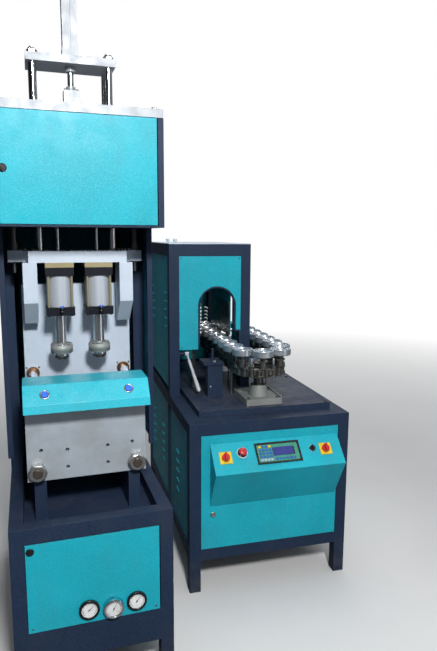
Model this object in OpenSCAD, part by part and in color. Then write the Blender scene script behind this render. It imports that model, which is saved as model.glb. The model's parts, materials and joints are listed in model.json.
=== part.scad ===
// Two-cavity stretch blow moulding machine for bottles: a blowing unit with a
// horizontal clamp, and a preform heater with an oven over a chain of holders.
// Millimetres. X runs to the right, Y to the back, Z up from the floor.

/* [Blowing unit] */
// Width of the blowing unit
unit_w = 500; // [470:1:600]
// Height of the base frame
base_h = 590; // [560:1:620]
// Side of the square tubes of the base
post_w = 43; // [36:1:46]
// Height of the top rail of the base
top_rail_h = 50; // [40:1:60]
// Height of the underside of the deep lower rail
low_rail_z = 136; // [100:1:160]
// Height of the deep lower rail
low_rail_h = 112; // [60:1:120]
// Room behind the clamp cylinder, up to the back of the unit
rear_space = 82; // [60:1:300]
// Thickness of folded sheet
sheet_t = 2; // [1.5:0.5:3]

/* [Doors] */
// Depth of the folded edge of a door
door_depth = 15; // [12:1:20]
// How far a door stands out of its frame
door_proud = 1.5; // [1:0.5:3]
// Gap round a door
door_gap = 1.5; // [1:0.5:3]
// Gap at the hinged edge of a door
hinge_gap = 3.5; // [3.5:0.5:5]
// Diameter of the pivot pins of a door
door_pin_d = 5; // [4:0.5:6]
// Diameter of a lock's head
lock_d = 24; // [20:1:26]

/* [Pressure gauges] */
// Diameter of the pressure gauges
gauge_d = 64; // [50:1:68]
// Distance between neighbouring gauges
gauge_pitch = 75; // [72:1:90]
// Height of the gauges over the floor
gauge_z = 295; // [290:1:330]
// How far the centre gauge stands out of the door
gauge_proud = 20; // [14:1:30]

/* [Clamp] */
// Width of the fixed plates
plate_w = 379; // [372:1:390]
// Thickness of the clamp plates
plate_t = 45; // [35:1:50]
// Height of the underside of the plates
plate_z = 679; // [660:1:690]
// Height of the fixed plates
plate_h = 322; // [315:1:330]
// Distance of the front plate behind the front of the base
plate_y = 135; // [125:1:145]
// Depth of the mould space between the closed plates
mould_d = 206; // [190:1:216]
// Travel of the moving platen
clamp_stroke = 150; // [100:1:160]
// Width of the moving platen
platen_w = 368; // [364:1:370]
// Height of the top of the moving platen
platen_top = 1287; // [1200:1:1300]
// Diameter of the tie bars
tie_d = 30; // [24:1:32]
// Sideways distance between the tie bars
tie_pitch_x = 316; // [310:1:320]
// Height of the lower tie bars
tie_low_z = 713; // [710:1:720]
// Height of the upper tie bars
tie_high_z = 975; // [960:1:976]
// Width across the flats of the tie bar nuts
nut_w = 52; // [46:1:55]
// Height of the tie bar nuts
nut_h = 26; // [20:1:28]
// Bore of the clamp cylinder
clamp_bore = 136; // [100:1:150]
// Diameter of the clamp piston rod
clamp_rod_d = 45; // [36:1:50]

/* [Blowing head] */
// Sideways distance between the two nozzles
cavity_pitch = 125; // [112:1:134]
// Height of the underside of the head beams
beam_z = 1367; // [1350:1:1375]
// Thickness of the head beams
beam_h = 38; // [30:1:42]
// Width of the rear head beam
beam_w = 443; // [440:1:450]
// Width of the front head beam
front_beam_w = 315; // [290:1:340]
// Side of the seal cylinders
seal_w = 90; // [80:1:96]
// Bore of the seal cylinders
seal_bore = 76; // [60:1:78]
// Diameter of the hollow nozzle rods
nozzle_rod_d = 36; // [30:1:40]
// Diameter of the nozzle collars
nozzle_d = 72; // [60:1:76]
// Height of the underside of the nozzles
nozzle_z = 1056; // [1045:1:1070]
// Travel of the nozzles
nozzle_stroke = 60; // [40:1:64]

/* [Stretching] */
// Travel of the stretch rods
stretch_stroke = 300; // [200:1:300]
// Diameter of the stretch rods
stretch_rod_d = 10; // [8:1:12]
// Diameter of the guide rods
guide_d = 22; // [18:1:25]
// Sideways distance between the guide rods
guide_pitch = 238; // [230:1:250]
// Diameter of the stretch cylinder's piston rod
stretch_piston_rod_d = 20; // [16:1:20]
// Side of the stretch cylinder
stretch_cyl_w = 50; // [48:1:60]
// Height of the top of the stretch cylinder
machine_h = 2450; // [2440:1:2600]

/* [Upper cabinet] */
// Height of the underside of the cabinet
cabinet_z = 1480; // [1475:1:1500]
// Height of the underside of the top plate
cabinet_top = 1807; // [1800:1:1840]
// Distance of the cabinet's front behind the front of the base
cabinet_y = 84; // [70:1:120]
// Thickness of the top plate
top_plate_t = 26; // [16:1:30]
// Width of the cabinet's front posts
cabinet_post = 18; // [15:1:22]
// Distance of the side panels' front edge behind the front of the base
side_y = 282; // [270:1:300]

/* [Heater table] */
// Gap between the two units
unit_gap = 166; // [100:1:400]
// Distance of the table's left front corner behind the front of the base
table_y = 404; // [300:1:450]
// How many degrees the heater stands turned to the right
heater_turn = 3.37; // [0:0.01:6]
// Width of the table
table_w = 690; // [670:1:800]
// Depth of the table
table_d = 1100; // [1100:1:1300]
// Height of the table
table_h = 720; // [700:1:760]
// Side of the square tubes of the table and the oven
tube_w = 46; // [36:1:48]
// Height of the underside of the table's lower rail
table_low_z = 138; // [110:1:160]
// Height of the rails of the table
table_rail_h = 49; // [40:1:52]

/* [Console] */
// Distance of the console's left end from the table's left side
console_x = 84; // [70:1:95]
// Width of the console
console_w = 550; // [500:1:552]
// Distance of the console's top under the table top
console_below = 85; // [75:1:120]
// How far the console's ridge stands out
console_reach = 94; // [80:1:110]
// Height of the console's upper slope
console_drop = 95; // [85:1:115]
// Height of the whole console
console_h = 263; // [215:1:285]

/* [Oven] */
// Width of the oven
oven_w = 383; // [383:1:390]
// Depth of the oven
oven_d = 669; // [660:1:673]
// Height of the oven over the table top
oven_h = 698; // [680:1:780]
// Height of the lower edge of the oven's front panel over the table top
oven_panel_rise = 215; // [205:1:240]
// Width of the arch
arch_w = 167; // [150:1:180]
// Height of the top of the arch over the table top
arch_rise = 500; // [480:1:580]
// Number of heat lamps
lamp_count = 8; // [4:1:8]
// Distance between neighbouring lamps
lamp_pitch = 16.6; // [15:0.1:20]

/* [Chain and holders] */
// Pitch of the roller chain
chain_pitch = 31.75; // [31:0.05:32]
// Number of teeth on each sprocket
sprocket_teeth = 20; // [20:2:20]
// Number of pitches in each straight run of the chain
straight_links = 20; // [20:3:20]
// Number of pitches between neighbouring holders
links_per_holder = 3; // [3:1:4]
// Height of the middle of the chain over the plinth
chain_rise = 145; // [135:1:147]
// Outer diameter of the holder cups
cup_d = 88; // [70:1:89]

/* [Hidden] */
$fn = 64;

slate = [0.17, 0.20, 0.30];
teal = [0.05, 0.68, 0.72];
steel = [0.72, 0.73, 0.75];
bright = [0.86, 0.87, 0.89];
dark = [0.10, 0.10, 0.11];
pale = [0.88, 0.89, 0.90];

// Fits and small clearances
run_fit = 0.05;
free_fit = 0.3;
seam = 0.1;
eps = 0.01;

// Places that several pieces share
mid_x = unit_w / 2;
plate_back = plate_y + plate_t;
platen_y = plate_back + mould_d;
platen_back = platen_y + plate_t;
nozzle_y = plate_back + mould_d / 2;
rod_flange_t = 20;
rear_plate_y = platen_back + clamp_stroke + rod_flange_t + 14;
rear_plate_back = rear_plate_y + plate_t;
clamp_z = (tie_low_z + tie_high_z) / 2;
clamp_cap_t = 28;
clamp_piston_t = 36;
clamp_barrel = clamp_stroke + clamp_piston_t + 16;
base_d = rear_plate_back + 2 * clamp_cap_t + clamp_barrel + rear_space;
tie_places = [for (x = [-1, 1], z = [tie_low_z, tie_high_z]) [mid_x + x * tie_pitch_x / 2, z]];
beam_y = nozzle_y + seal_w / 2;
beam_top = beam_z + beam_h;
upright_w = 40;
upright_y = beam_y + 112;
guide_y = nozzle_y + 21;
cavity_xs = [mid_x - cavity_pitch / 2, mid_x + cavity_pitch / 2];
guide_xs = [mid_x - guide_pitch / 2, mid_x + guide_pitch / 2];
top_plate_z = cabinet_top + top_plate_t;
heater_x = unit_w + unit_gap;
front_y = -(door_proud + gauge_proud);
shift_x = (heater_x + table_w * cos(heater_turn) + table_d * sin(heater_turn)) / 2;
shift_y = (front_y + max(table_y + table_d * cos(heater_turn), base_d)) / 2;

// Corner block between two opposite corners
module block(low, high) {
    translate(low) cube(high - low);
}

// Places a piece given in the blowing unit's own corner
module at_unit() {
    translate([-shift_x, -shift_y, 0]) children();
}

// Places a piece given in the heater table's own corner
module at_heater() {
    at_unit() translate([heater_x, table_y, 0]) rotate(-heater_turn) children();
}

// Turned piece along +Y, from a profile of radius and length
module turned_y(profile) {
    rotate([-90, 0, 0]) rotate_extrude($fn = 96) polygon(profile);
}

// Round bar or bore along +Y
module bar_y(r, length) {
    rotate([-90, 0, 0]) cylinder(r = r, h = length);
}

// Unit normal on the left of the segment from a to b
function side_normal(a, b) = let (d = b - a) [-d[1], d[0]] / norm(d);

// Point i of an open fold line, moved by t to the left of the line
function fold_point(line, i, t) = let (
        last = len(line) - 1,
        before = side_normal(line[max(i, 1) - 1], line[max(i, 1)]),
        after = side_normal(line[min(i, last - 1)], line[min(i, last - 1) + 1]))
    line[i] + t * (before + after) / (1 + before * after);

// Closed section of a sheet of thickness t folded along an open line
function folded(line, t) = concat(line,
    [for (i = [len(line) - 1:-1:0]) fold_point(line, i, t)]);

// Extrudes a section given in Y and Z along +X
module along_x(length) {
    rotate([90, 0, 90]) linear_extrude(length) children();
}

// Sheet door, open at the back, with pivot pins at its right edge
door_pin_x = 3;
door_pin_y = 5;
door_pin_reach = 8;
module door_shell(w, h) {
    difference() {
        cube([w, door_depth, h]);
        translate([sheet_t, sheet_t, sheet_t])
            cube([w - 2 * sheet_t, door_depth, h - 2 * sheet_t]);
    }
    translate([w - door_pin_x, door_pin_y, -door_gap - door_pin_reach])
        cylinder(d = door_pin_d, h = door_gap + door_pin_reach + sheet_t / 2);
    translate([w - door_pin_x, door_pin_y, h - sheet_t / 2])
        cylinder(d = door_pin_d, h = door_gap + door_pin_reach + sheet_t / 2);
}

// Bores for the two pins of a door whose corner and size are given
module door_pin_bores(corner, w, h) {
    depth = door_pin_reach + 1;
    for (z = [corner[2] - door_gap - depth, corner[2] + h + door_gap])
        translate([corner[0] + w - door_pin_x, corner[1] + door_pin_y, z])
            cylinder(r = door_pin_d / 2 + run_fit, h = depth);
}

// Quarter-turn lock with a cam behind the door, on the door's front face
lock_shank_r = 9;
lock_cam_t = 3;
module quarter_lock(key_slot) {
    bar_y(lock_shank_r, door_depth + 2);
    difference() {
        translate([0, -4, 0]) turned_y([[0, 0], [lock_d / 2 - 2, 0], [lock_d / 2, 2],
            [lock_d / 2, 4 - free_fit], [0, 4 - free_fit]]);
        if (key_slot) translate([-1, -4 - eps, -4]) cube([2, 2, 8]);
    }
    translate([0, -free_fit - eps, 0]) bar_y(lock_shank_r, 1);
    translate([-5, door_depth + 2 - eps, -12]) cube([10, lock_cam_t, 17]);
}

// Base of the blowing unit
base_door_w = unit_w - 2 * post_w - door_gap - hinge_gap;
base_door_z = low_rail_z + low_rail_h + door_gap;
base_door_h = base_h - top_rail_h - door_gap - base_door_z;
base_door_at = [post_w + door_gap, -door_proud, base_door_z];
base_lock_at = [base_door_at[0] + 14, -door_proud, base_door_z + base_door_h - 22];
gauge_low = 5;
gauge_places = [for (i = [-1:1]) [mid_x + 52 + i * gauge_pitch, gauge_z - (i == 0 ? gauge_low : 0)]];
gauge_case_r = gauge_d / 2 - 6;
bed_rail_w = 38;
bed_rail_x = tie_pitch_x / 2 - 7;
tray_z = base_h - top_rail_h;

module blower_frame() {
    color(slate) at_unit() difference() {
        union() {
            for (x = [0, unit_w - post_w], y = [0, base_d - post_w])
                block([x, y, 0], [x + post_w, y + post_w, base_h]);
            for (z = [[low_rail_z, low_rail_z + low_rail_h], [tray_z, base_h]]) {
                for (y = [0, base_d - post_w])
                    block([post_w - eps, y, z[0]], [unit_w - post_w + eps, y + post_w, z[1]]);
                for (x = [0, unit_w - post_w])
                    block([x, post_w - eps, z[0]], [x + post_w, base_d - post_w + eps, z[1]]);
            }
            block([post_w - eps, post_w - eps, tray_z],
                [unit_w - post_w + eps, base_d - post_w + eps, tray_z + sheet_t]);
            for (side = [-1, 1])
                translate([mid_x + side * bed_rail_x - bed_rail_w / 2, 0, 0])
                    block([0, plate_y + 8, tray_z], [bed_rail_w, rear_plate_back, plate_z]);
        }
        door_pin_bores(base_door_at, base_door_w, base_door_h);
    }
}

// Flat sheets that close the two sides and the back of the base
module base_panels() {
    panel_z = [low_rail_z + low_rail_h, tray_z];
    color(teal) at_unit() {
        for (x = [1, unit_w - 1 - sheet_t])
            block([x, post_w, panel_z[0]], [x + sheet_t, base_d - post_w, panel_z[1]]);
        block([post_w, base_d - 1 - sheet_t, panel_z[0]],
            [unit_w - post_w, base_d - 1, panel_z[1]]);
    }
}

module base_door() {
    color(teal) at_unit() difference() {
        translate(base_door_at) door_shell(base_door_w, base_door_h);
        translate(base_lock_at - [0, eps, 0]) bar_y(lock_shank_r + run_fit, door_depth);
        for (p = gauge_places)
            translate([p[0], -door_proud - eps, p[1]])
                bar_y(gauge_case_r + free_fit, sheet_t + 2 * eps);
    }
}

module base_door_lock() {
    color(dark) at_unit() translate(base_lock_at) quarter_lock(true);
}

// Dial gauge: bezel, sunk dial, case behind the door and threaded stem
module gauge(proud, lip) {
    r = gauge_d / 2;
    case_l = 34;
    translate([0, -proud, 0]) turned_y([[0, lip + 1], [r - 6, lip + 1], [r - 5, 0], [r - 1, 0],
        [r, 1], [r, proud], [gauge_case_r, proud], [gauge_case_r, proud + case_l],
        [7, proud + case_l], [7, proud + case_l + 16], [0, proud + case_l + 16]]);
}

module gauges() {
    side_proud = 9;
    color(steel) at_unit() for (i = [0:2])
        translate([gauge_places[i][0], -door_proud, gauge_places[i][1]])
            gauge(i == 1 ? gauge_proud : side_proud, i == 1 ? 4 : 2);
}

// Clamp
mould_holes = [[-145, 101], [145, 101], [-64, 96], [64, 96], [-64, 38], [64, 38]];
mould_hole_d = 12;
bush_r = tie_d / 2 + 6;
bush_flange = 3;

module tie_bores(y, t, r) {
    for (p = tie_places) translate([p[0], y - eps, p[1]]) bar_y(r, t + 2 * eps);
}

module front_plate() {
    color(steel) at_unit() difference() {
        block([mid_x - plate_w / 2, plate_y, plate_z],
            [mid_x + plate_w / 2, plate_back, plate_z + plate_h]);
        tie_bores(plate_y, plate_t, tie_d / 2 + 0.1);
        for (p = mould_holes)
            translate([mid_x + p[0], plate_y - eps, plate_z + p[1]])
                bar_y(mould_hole_d / 2, plate_t + 2 * eps);
    }
}

bar_end = nut_h + 5;
module tie_bars() {
    color(bright) at_unit() for (p = tie_places)
        translate([p[0], plate_y - bar_end, p[1]])
            turned_y([[0, 0], [tie_d / 2 - 2, 0], [tie_d / 2, 2],
                [tie_d / 2, rear_plate_back - plate_y + 2 * bar_end - 2],
                [tie_d / 2 - 2, rear_plate_back - plate_y + 2 * bar_end],
                [0, rear_plate_back - plate_y + 2 * bar_end]]);
}

// Hexagon nut along +Y with turned corners
module hex_nut(w, h, bore_r) {
    difference() {
        intersection() {
            rotate([-90, 0, 0]) cylinder(d = w / cos(30), h = h, $fn = 6);
            turned_y([[0, 0], [w / 2 - 1, 0], [w / 2 + 4, 3], [w / 2 + 4, h - 3],
                [w / 2 - 1, h], [0, h]]);
        }
        translate([0, -eps, 0]) bar_y(bore_r, h + 2 * eps);
    }
}

module tie_bar_nuts() {
    color(steel) at_unit() for (p = tie_places, y = [plate_y - nut_h, rear_plate_back])
        translate([p[0], y, p[1]]) hex_nut(nut_w, nut_h, tie_d / 2 + 0.1);
}

module moving_platen() {
    color(pale) at_unit() difference() {
        block([mid_x - platen_w / 2, platen_y, plate_z + 1],
            [mid_x + platen_w / 2, platen_back, platen_top]);
        tie_bores(platen_y, plate_t, bush_r + 0.1);
    }
}

module platen_bushes() {
    color([0.65, 0.42, 0.22]) at_unit() for (p = tie_places)
        translate([p[0], platen_y - bush_flange, p[1]])
            turned_y([[tie_d / 2 + run_fit, 0], [bush_r + 1, 0], [bush_r + 2, 1],
                [bush_r + 2, bush_flange], [bush_r, bush_flange],
                [bush_r, bush_flange + plate_t], [tie_d / 2 + run_fit, bush_flange + plate_t]]);
}

module rear_plate() {
    color(steel) at_unit() difference() {
        block([mid_x - plate_w / 2, rear_plate_y, plate_z],
            [mid_x + plate_w / 2, rear_plate_back, plate_z + plate_h]);
        tie_bores(rear_plate_y, plate_t, tie_d / 2 + 0.1);
        translate([mid_x, rear_plate_y - eps, clamp_z])
            bar_y(clamp_rod_d / 2 + 5, plate_t + 2 * eps);
    }
}

clamp_cap = clamp_bore + 34;
module clamp_cylinder() {
    wall = 7;
    rod_at = clamp_cap / 2 - 12;
    color(steel) at_unit() translate([mid_x, rear_plate_back, clamp_z]) {
        difference() {
            translate([-clamp_cap / 2, 0, -clamp_cap / 2])
                cube([clamp_cap, clamp_cap_t, clamp_cap]);
            translate([0, -eps, 0]) bar_y(clamp_rod_d / 2 + run_fit, clamp_cap_t + 2 * eps);
        }
        translate([0, clamp_cap_t + seam, 0]) turned_y([[clamp_bore / 2, 0],
            [clamp_bore / 2 + wall, 0], [clamp_bore / 2 + wall, clamp_barrel - 2 * seam],
            [clamp_bore / 2, clamp_barrel - 2 * seam]]);
        translate([-clamp_cap / 2, clamp_cap_t + clamp_barrel, -clamp_cap / 2])
            cube([clamp_cap, clamp_cap_t, clamp_cap]);
        for (x = [-1, 1], z = [-1, 1])
            translate([x * rod_at, clamp_cap_t + seam, z * rod_at])
                bar_y(7, clamp_barrel - 2 * seam);
    }
}

module clamp_piston_rod() {
    rod_l = rear_plate_back + clamp_cap_t + 8 - platen_back;
    color(bright) at_unit() translate([mid_x, platen_back, clamp_z])
        turned_y([[0, 0], [clamp_rod_d, 0], [clamp_rod_d, rod_flange_t],
            [clamp_rod_d / 2, rod_flange_t], [clamp_rod_d / 2, rod_l],
            [clamp_bore / 2 - free_fit, rod_l],
            [clamp_bore / 2 - free_fit, rod_l + clamp_piston_t], [0, rod_l + clamp_piston_t]]);
}

// Folded guard over the top of the front plate, with the two start buttons
guard_w = plate_w + 6;
guard_top = plate_z + plate_h + sheet_t;
guard_back = plate_back + 32;
guard_reach = 80;
guard_front = plate_y - guard_reach;
guard_drop = 79;
slope_top = 45.5;
slope_reach = 39.5;
slope_drop = 54;
guard_line = [[guard_back, guard_top], [guard_front + slope_top, guard_top],
    [guard_front + slope_top - slope_reach, guard_top - slope_drop],
    [guard_front, guard_top - guard_drop]];
button_pitch = 256;
button_r = 11;
button_travel = 4;
button_at = (guard_line[1] + guard_line[2]) / 2;
button_tilt = atan2(guard_line[1][1] - guard_line[2][1], guard_line[1][0] - guard_line[2][0]);

// Puts a child on the guard's sloping face, its +Z out of the face
module on_guard(side) {
    translate([mid_x + side * button_pitch / 2, button_at[0], button_at[1]])
        rotate([button_tilt, 0, 0]) children();
}

module guard() {
    back_lip = 45;
    end_cap = concat(guard_line, [[guard_front + 20, guard_top - guard_drop],
        [guard_back, guard_top - back_lip]]);
    color(teal) at_unit() difference() {
        translate([mid_x - guard_w / 2, 0, 0]) union() {
            along_x(guard_w) polygon(folded(guard_line, sheet_t));
            for (x = [0, guard_w - sheet_t]) translate([x, 0, 0]) along_x(sheet_t) polygon(end_cap);
        }
        for (side = [-1, 1]) on_guard(side) translate([0, 0, -12])
            cylinder(r = button_r + free_fit, h = 24);
    }
}

module start_button(side) {
    color([0.10, 0.35, 0.85]) at_unit() on_guard(side) rotate_extrude()
        polygon([[0, -16], [button_r - 3, -16], [button_r - 3, -8], [button_r, -8],
            [button_r, 5], [button_r - 1, 6], [0, 6]]);
}
module left_start_button() { start_button(-1); }
module right_start_button() { start_button(1); }

// Upper body of the blowing unit
upper_door_w = unit_w - 2 * cabinet_post - door_gap - hinge_gap;
floor_t = 6;
upper_door_z = cabinet_z + floor_t + door_gap;
upper_door_h = cabinet_top - door_gap - upper_door_z;
upper_door_at = [cabinet_post + door_gap, cabinet_y, upper_door_z];
frame_y = cabinet_y + 2;
cabinet_wall = 3;
floor_w = 75;

module upper_frame() {
    color(slate) at_unit() difference() {
        union() {
            for (x = [sheet_t, unit_w - sheet_t - upright_w],
                    y = [upright_y, base_d - sheet_t - upright_w])
                block([x, y, base_h], [x + upright_w, y + upright_w, cabinet_z + eps]);
            for (x = [0, unit_w - cabinet_post])
                block([x, frame_y, cabinet_z], [x + cabinet_post, frame_y + cabinet_post, cabinet_top]);
            for (x = [0, unit_w - cabinet_wall])
                block([x, frame_y, cabinet_z], [x + cabinet_wall, base_d, cabinet_top]);
            block([0, base_d - cabinet_wall, cabinet_z], [unit_w, base_d, cabinet_top]);
            for (x = [0, unit_w - floor_w])
                block([x, frame_y, cabinet_z], [x + floor_w, base_d, cabinet_z + floor_t]);
            for (y = [[frame_y, frame_y + 90], [upright_y, base_d]])
                block([0, y[0], cabinet_z], [unit_w, y[1], cabinet_z + floor_t]);
            for (x = [0, unit_w - cabinet_post])
                block([x, side_y, panel_low], [x + cabinet_post, side_y + cabinet_post, cabinet_z + eps]);
        }
        door_pin_bores(upper_door_at, upper_door_w, upper_door_h);
    }
}

// Tall side sheets behind the hanging front posts, and the sheet at the back
panel_low = base_h + 120;
module body_panels() {
    color(teal) at_unit() {
        for (x = [0, unit_w - sheet_t])
            block([x, side_y + cabinet_post, panel_low], [x + sheet_t, base_d - sheet_t, cabinet_z]);
        block([0, base_d - sheet_t, base_h], [unit_w, base_d, cabinet_z]);
    }
}

module upper_door() {
    color(teal) at_unit() difference() {
        translate(upper_door_at) door_shell(upper_door_w, upper_door_h);
        translate(upper_knob_at - [0, eps, 0]) bar_y(lock_shank_r + run_fit, door_depth);
    }
}

upper_knob_at = [upper_door_at[0] + 14, cabinet_y, (cabinet_z + cabinet_top) / 2];
module upper_door_knob() {
    color(dark) at_unit() translate(upper_knob_at) quarter_lock(false);
}

// Stretching gear on and in the cabinet
stretch_y = nozzle_y + 61;
bridge_z = 1996;
bridge_t = 24;
bridge_w = guide_pitch + 42;
bridge_ys = [nozzle_y + 9, nozzle_y + 139];
column_d = 25;
column_ys = [bridge_ys[0] + 22, bridge_ys[1] - 22];
stud_r = 7;
guide_block_h = 87;
nose_r = 17;
nose_l = 15;

module top_plate() {
    color(pale) at_unit() difference() {
        block([0, cabinet_y, cabinet_top], [unit_w, base_d, top_plate_z]);
        translate([mid_x, stretch_y, cabinet_top - eps])
            cylinder(r = stretch_piston_rod_d / 2 + 2, h = top_plate_t + 2 * eps);
        door_pin_bores(upper_door_at, upper_door_w, upper_door_h);
    }
}

// Bridge plate over the top plate, and the rod's guide block under it
module stretch_bridge() {
    color(steel) at_unit() {
        difference() {
            block([mid_x - bridge_w / 2, bridge_ys[0], bridge_z],
                [mid_x + bridge_w / 2, bridge_ys[1], bridge_z + bridge_t]);
            translate([mid_x, stretch_y, bridge_z - eps])
                cylinder(r = nose_r + free_fit, h = bridge_t + 2 * eps);
            for (x = guide_xs, y = column_ys)
                translate([x, y, bridge_z - eps]) cylinder(r = stud_r + 0.2, h = bridge_t + 2 * eps);
        }
        translate([mid_x, stretch_y, top_plate_z]) difference() {
            union() {
                translate([-25, -25, 0]) cube([50, 50, guide_block_h]);
                cylinder(r = 15, h = guide_block_h + 14);
            }
            translate([0, 0, -eps])
                cylinder(r = stretch_piston_rod_d / 2 + run_fit, h = guide_block_h + 20);
        }
    }
}

// Columns that carry the bridge, each with a domed nut on top
module bridge_columns() {
    color(bright) at_unit() for (x = guide_xs, y = column_ys)
        translate([x, y, top_plate_z]) {
            top = bridge_z + bridge_t - top_plate_z;
            cylinder(d = column_d, h = bridge_z - top_plate_z);
            cylinder(r = stud_r, h = top + 4);
            translate([0, 0, top]) cylinder(d = 34, h = 10, $fn = 6);
            translate([0, 0, top + 9]) rotate_extrude()
                polygon([[0, 0], [13, 0], [12, 6], [8, 11], [0, 13]]);
        }
}

stretch_cap_h = 30;
stretch_bore_r = stretch_cyl_w / 2 - 5;
stretch_cyl_z = bridge_z + bridge_t;
module stretch_cylinder() {
    half = stretch_cyl_w / 2;
    tube_h = machine_h - stretch_cyl_z - 2 * stretch_cap_h;
    color(steel) at_unit() translate([mid_x, stretch_y, stretch_cyl_z]) {
        difference() {
            union() {
                translate([-half, -half, 0]) cube([stretch_cyl_w, stretch_cyl_w, stretch_cap_h]);
                translate([0, 0, -bridge_t - nose_l]) cylinder(r = nose_r, h = bridge_t + nose_l + 1);
            }
            translate([0, 0, -bridge_t - nose_l - eps])
                cylinder(r = stretch_piston_rod_d / 2 + run_fit,
                    h = bridge_t + nose_l + stretch_cap_h + 2 * eps);
        }
        translate([0, 0, stretch_cap_h + seam]) linear_extrude(tube_h - 2 * seam) difference() {
            square(stretch_cyl_w - 3, center = true);
            circle(r = stretch_bore_r);
            for (a = [0:90:270]) rotate(a) translate([half - 2.5, 0]) square([4, 6], center = true);
        }
        translate([-half, -half, stretch_cap_h + tube_h])
            cube([stretch_cyl_w, stretch_cyl_w, stretch_cap_h]);
    }
}

crosshead_t = 35;
crosshead_z = cabinet_top - 30 - crosshead_t;
crosshead_ys = [nozzle_y - 21, stretch_y + 22];
stretch_piston_t = 20;
module stretch_piston_rod() {
    z = crosshead_z + crosshead_t;
    rod_top = machine_h - stretch_cap_h - 10 - z;
    r = stretch_piston_rod_d / 2;
    color(bright) at_unit() translate([mid_x, stretch_y, z]) rotate_extrude()
        polygon([[0, 0], [20, 0], [20, 12], [r, 12], [r, rod_top - stretch_piston_t],
            [stretch_bore_r - free_fit, rod_top - stretch_piston_t],
            [stretch_bore_r - free_fit, rod_top], [0, rod_top]]);
}

module stretch_crosshead() {
    half_w = guide_pitch / 2 + 21;
    color(steel) at_unit() difference() {
        block([mid_x - half_w, crosshead_ys[0], crosshead_z],
            [mid_x + half_w, crosshead_ys[1], crosshead_z + crosshead_t]);
        for (x = guide_xs) translate([x, guide_y, crosshead_z - eps])
            cylinder(r = guide_d / 2 + run_fit, h = crosshead_t + 2 * eps);
        for (x = cavity_xs) translate([x, nozzle_y, crosshead_z - eps])
            cylinder(r = stretch_rod_d / 2 + 0.1, h = crosshead_t + 2 * eps);
    }
}

// Thin stretch rods with a lock nut over and under the crosshead
module stretch_rods() {
    nut = 8;
    color(bright) at_unit() for (x = cavity_xs) translate([x, nozzle_y, 0]) {
        translate([0, 0, nozzle_z + 4])
            cylinder(d = stretch_rod_d, h = crosshead_z + crosshead_t + nut + 5 - nozzle_z - 4);
        for (z = [crosshead_z - nut, crosshead_z + crosshead_t])
            translate([0, 0, z]) cylinder(d = stretch_rod_d * 2, h = nut, $fn = 6);
    }
}

module guide_rods() {
    color(bright) at_unit() for (x = guide_xs)
        translate([x, guide_y, beam_top]) cylinder(d = guide_d, h = cabinet_top - beam_top);
}

// Blowing head
beam_column_x = 49;
beam_column_d = 26;
head_rod_hole = stretch_rod_d / 2 + 3;
module head_beams() {
    color(pale) at_unit() {
        difference() {
            block([mid_x - beam_w / 2, beam_y, beam_z], [mid_x + beam_w / 2, upright_y, beam_top]);
            for (x = [beam_column_x, unit_w - beam_column_x])
                translate([x, beam_y + 15, beam_z - eps]) cylinder(r = 6.8, h = beam_h + 2 * eps);
        }
        difference() {
            block([mid_x - front_beam_w / 2, nozzle_y - 30, beam_z],
                [mid_x + front_beam_w / 2, beam_y - seam, beam_top]);
            for (x = cavity_xs) translate([x, nozzle_y, beam_z - eps])
                cylinder(r = head_rod_hole, h = beam_h + 2 * eps);
        }
    }
}

// Bracket arms under the beams, chamfered at the lower front
arm_w = 44;
arm_x = 154;
arm_ahead = 35;
arm_behind = 24;
arm_low = 206;
arm_nose = 130;
arm_chamfer = 80;
module beam_arms() {
    front = nozzle_y - arm_ahead;
    back = beam_y + arm_behind;
    color(pale) at_unit() for (side = [-1, 1])
        translate([mid_x + side * arm_x - arm_w / 2, 0, 0]) along_x(arm_w)
            polygon([[front, beam_z], [front, beam_z - arm_nose],
                [front + arm_chamfer, beam_z - arm_low], [back, beam_z - arm_low], [back, beam_z]]);
}

// Columns that hang the beams from the cabinet floor
module beam_columns() {
    color(dark) at_unit() for (x = [beam_column_x, unit_w - beam_column_x])
        translate([x, beam_y + 15, 0]) {
            translate([0, 0, beam_top])
                cylinder(d = beam_column_d, h = cabinet_z - beam_top);
            translate([0, 0, beam_top]) cylinder(d = beam_column_d + 10, h = 22);
            translate([0, 0, beam_z - 36]) cylinder(r = 6.5, h = 37 + beam_h);
        }
}

// Short square air cylinders that press the nozzles down
spacer_t = 15;
seal_cap_h = 27;
seal_barrel_h = nozzle_stroke + 43;
seal_top = beam_z - spacer_t;
seal_low = seal_top - 2 * seal_cap_h - seal_barrel_h;
module seal_cylinders() {
    barrel_r = seal_bore / 2 + 3;
    rod_at = seal_w / 2 - 8;
    color(steel) at_unit() for (x = cavity_xs) translate([x, nozzle_y, seal_low]) {
        difference() {
            translate([-seal_w / 2, -seal_w / 2, 0]) cube([seal_w, seal_w, seal_cap_h]);
            translate([0, 0, -eps])
                cylinder(r = nozzle_rod_d / 2 + run_fit, h = seal_cap_h + 2 * eps);
        }
        translate([0, 0, seal_cap_h + seam]) difference() {
            cylinder(r = barrel_r, h = seal_barrel_h - 2 * seam);
            translate([0, 0, -eps]) cylinder(d = seal_bore, h = seal_barrel_h + 2 * eps);
        }
        translate([0, 0, seal_cap_h + seal_barrel_h]) difference() {
            translate([-seal_w / 2, -seal_w / 2, 0]) cube([seal_w, seal_w, seal_cap_h]);
            translate([0, 0, -eps]) cylinder(r = head_rod_hole, h = seal_cap_h + 2 * eps);
        }
        for (px = [-1, 1], py = [-1, 1])
            translate([px * rod_at, py * rod_at, seal_cap_h + seam])
                cylinder(r = 4, h = seal_barrel_h - 2 * seam);
    }
}

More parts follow.
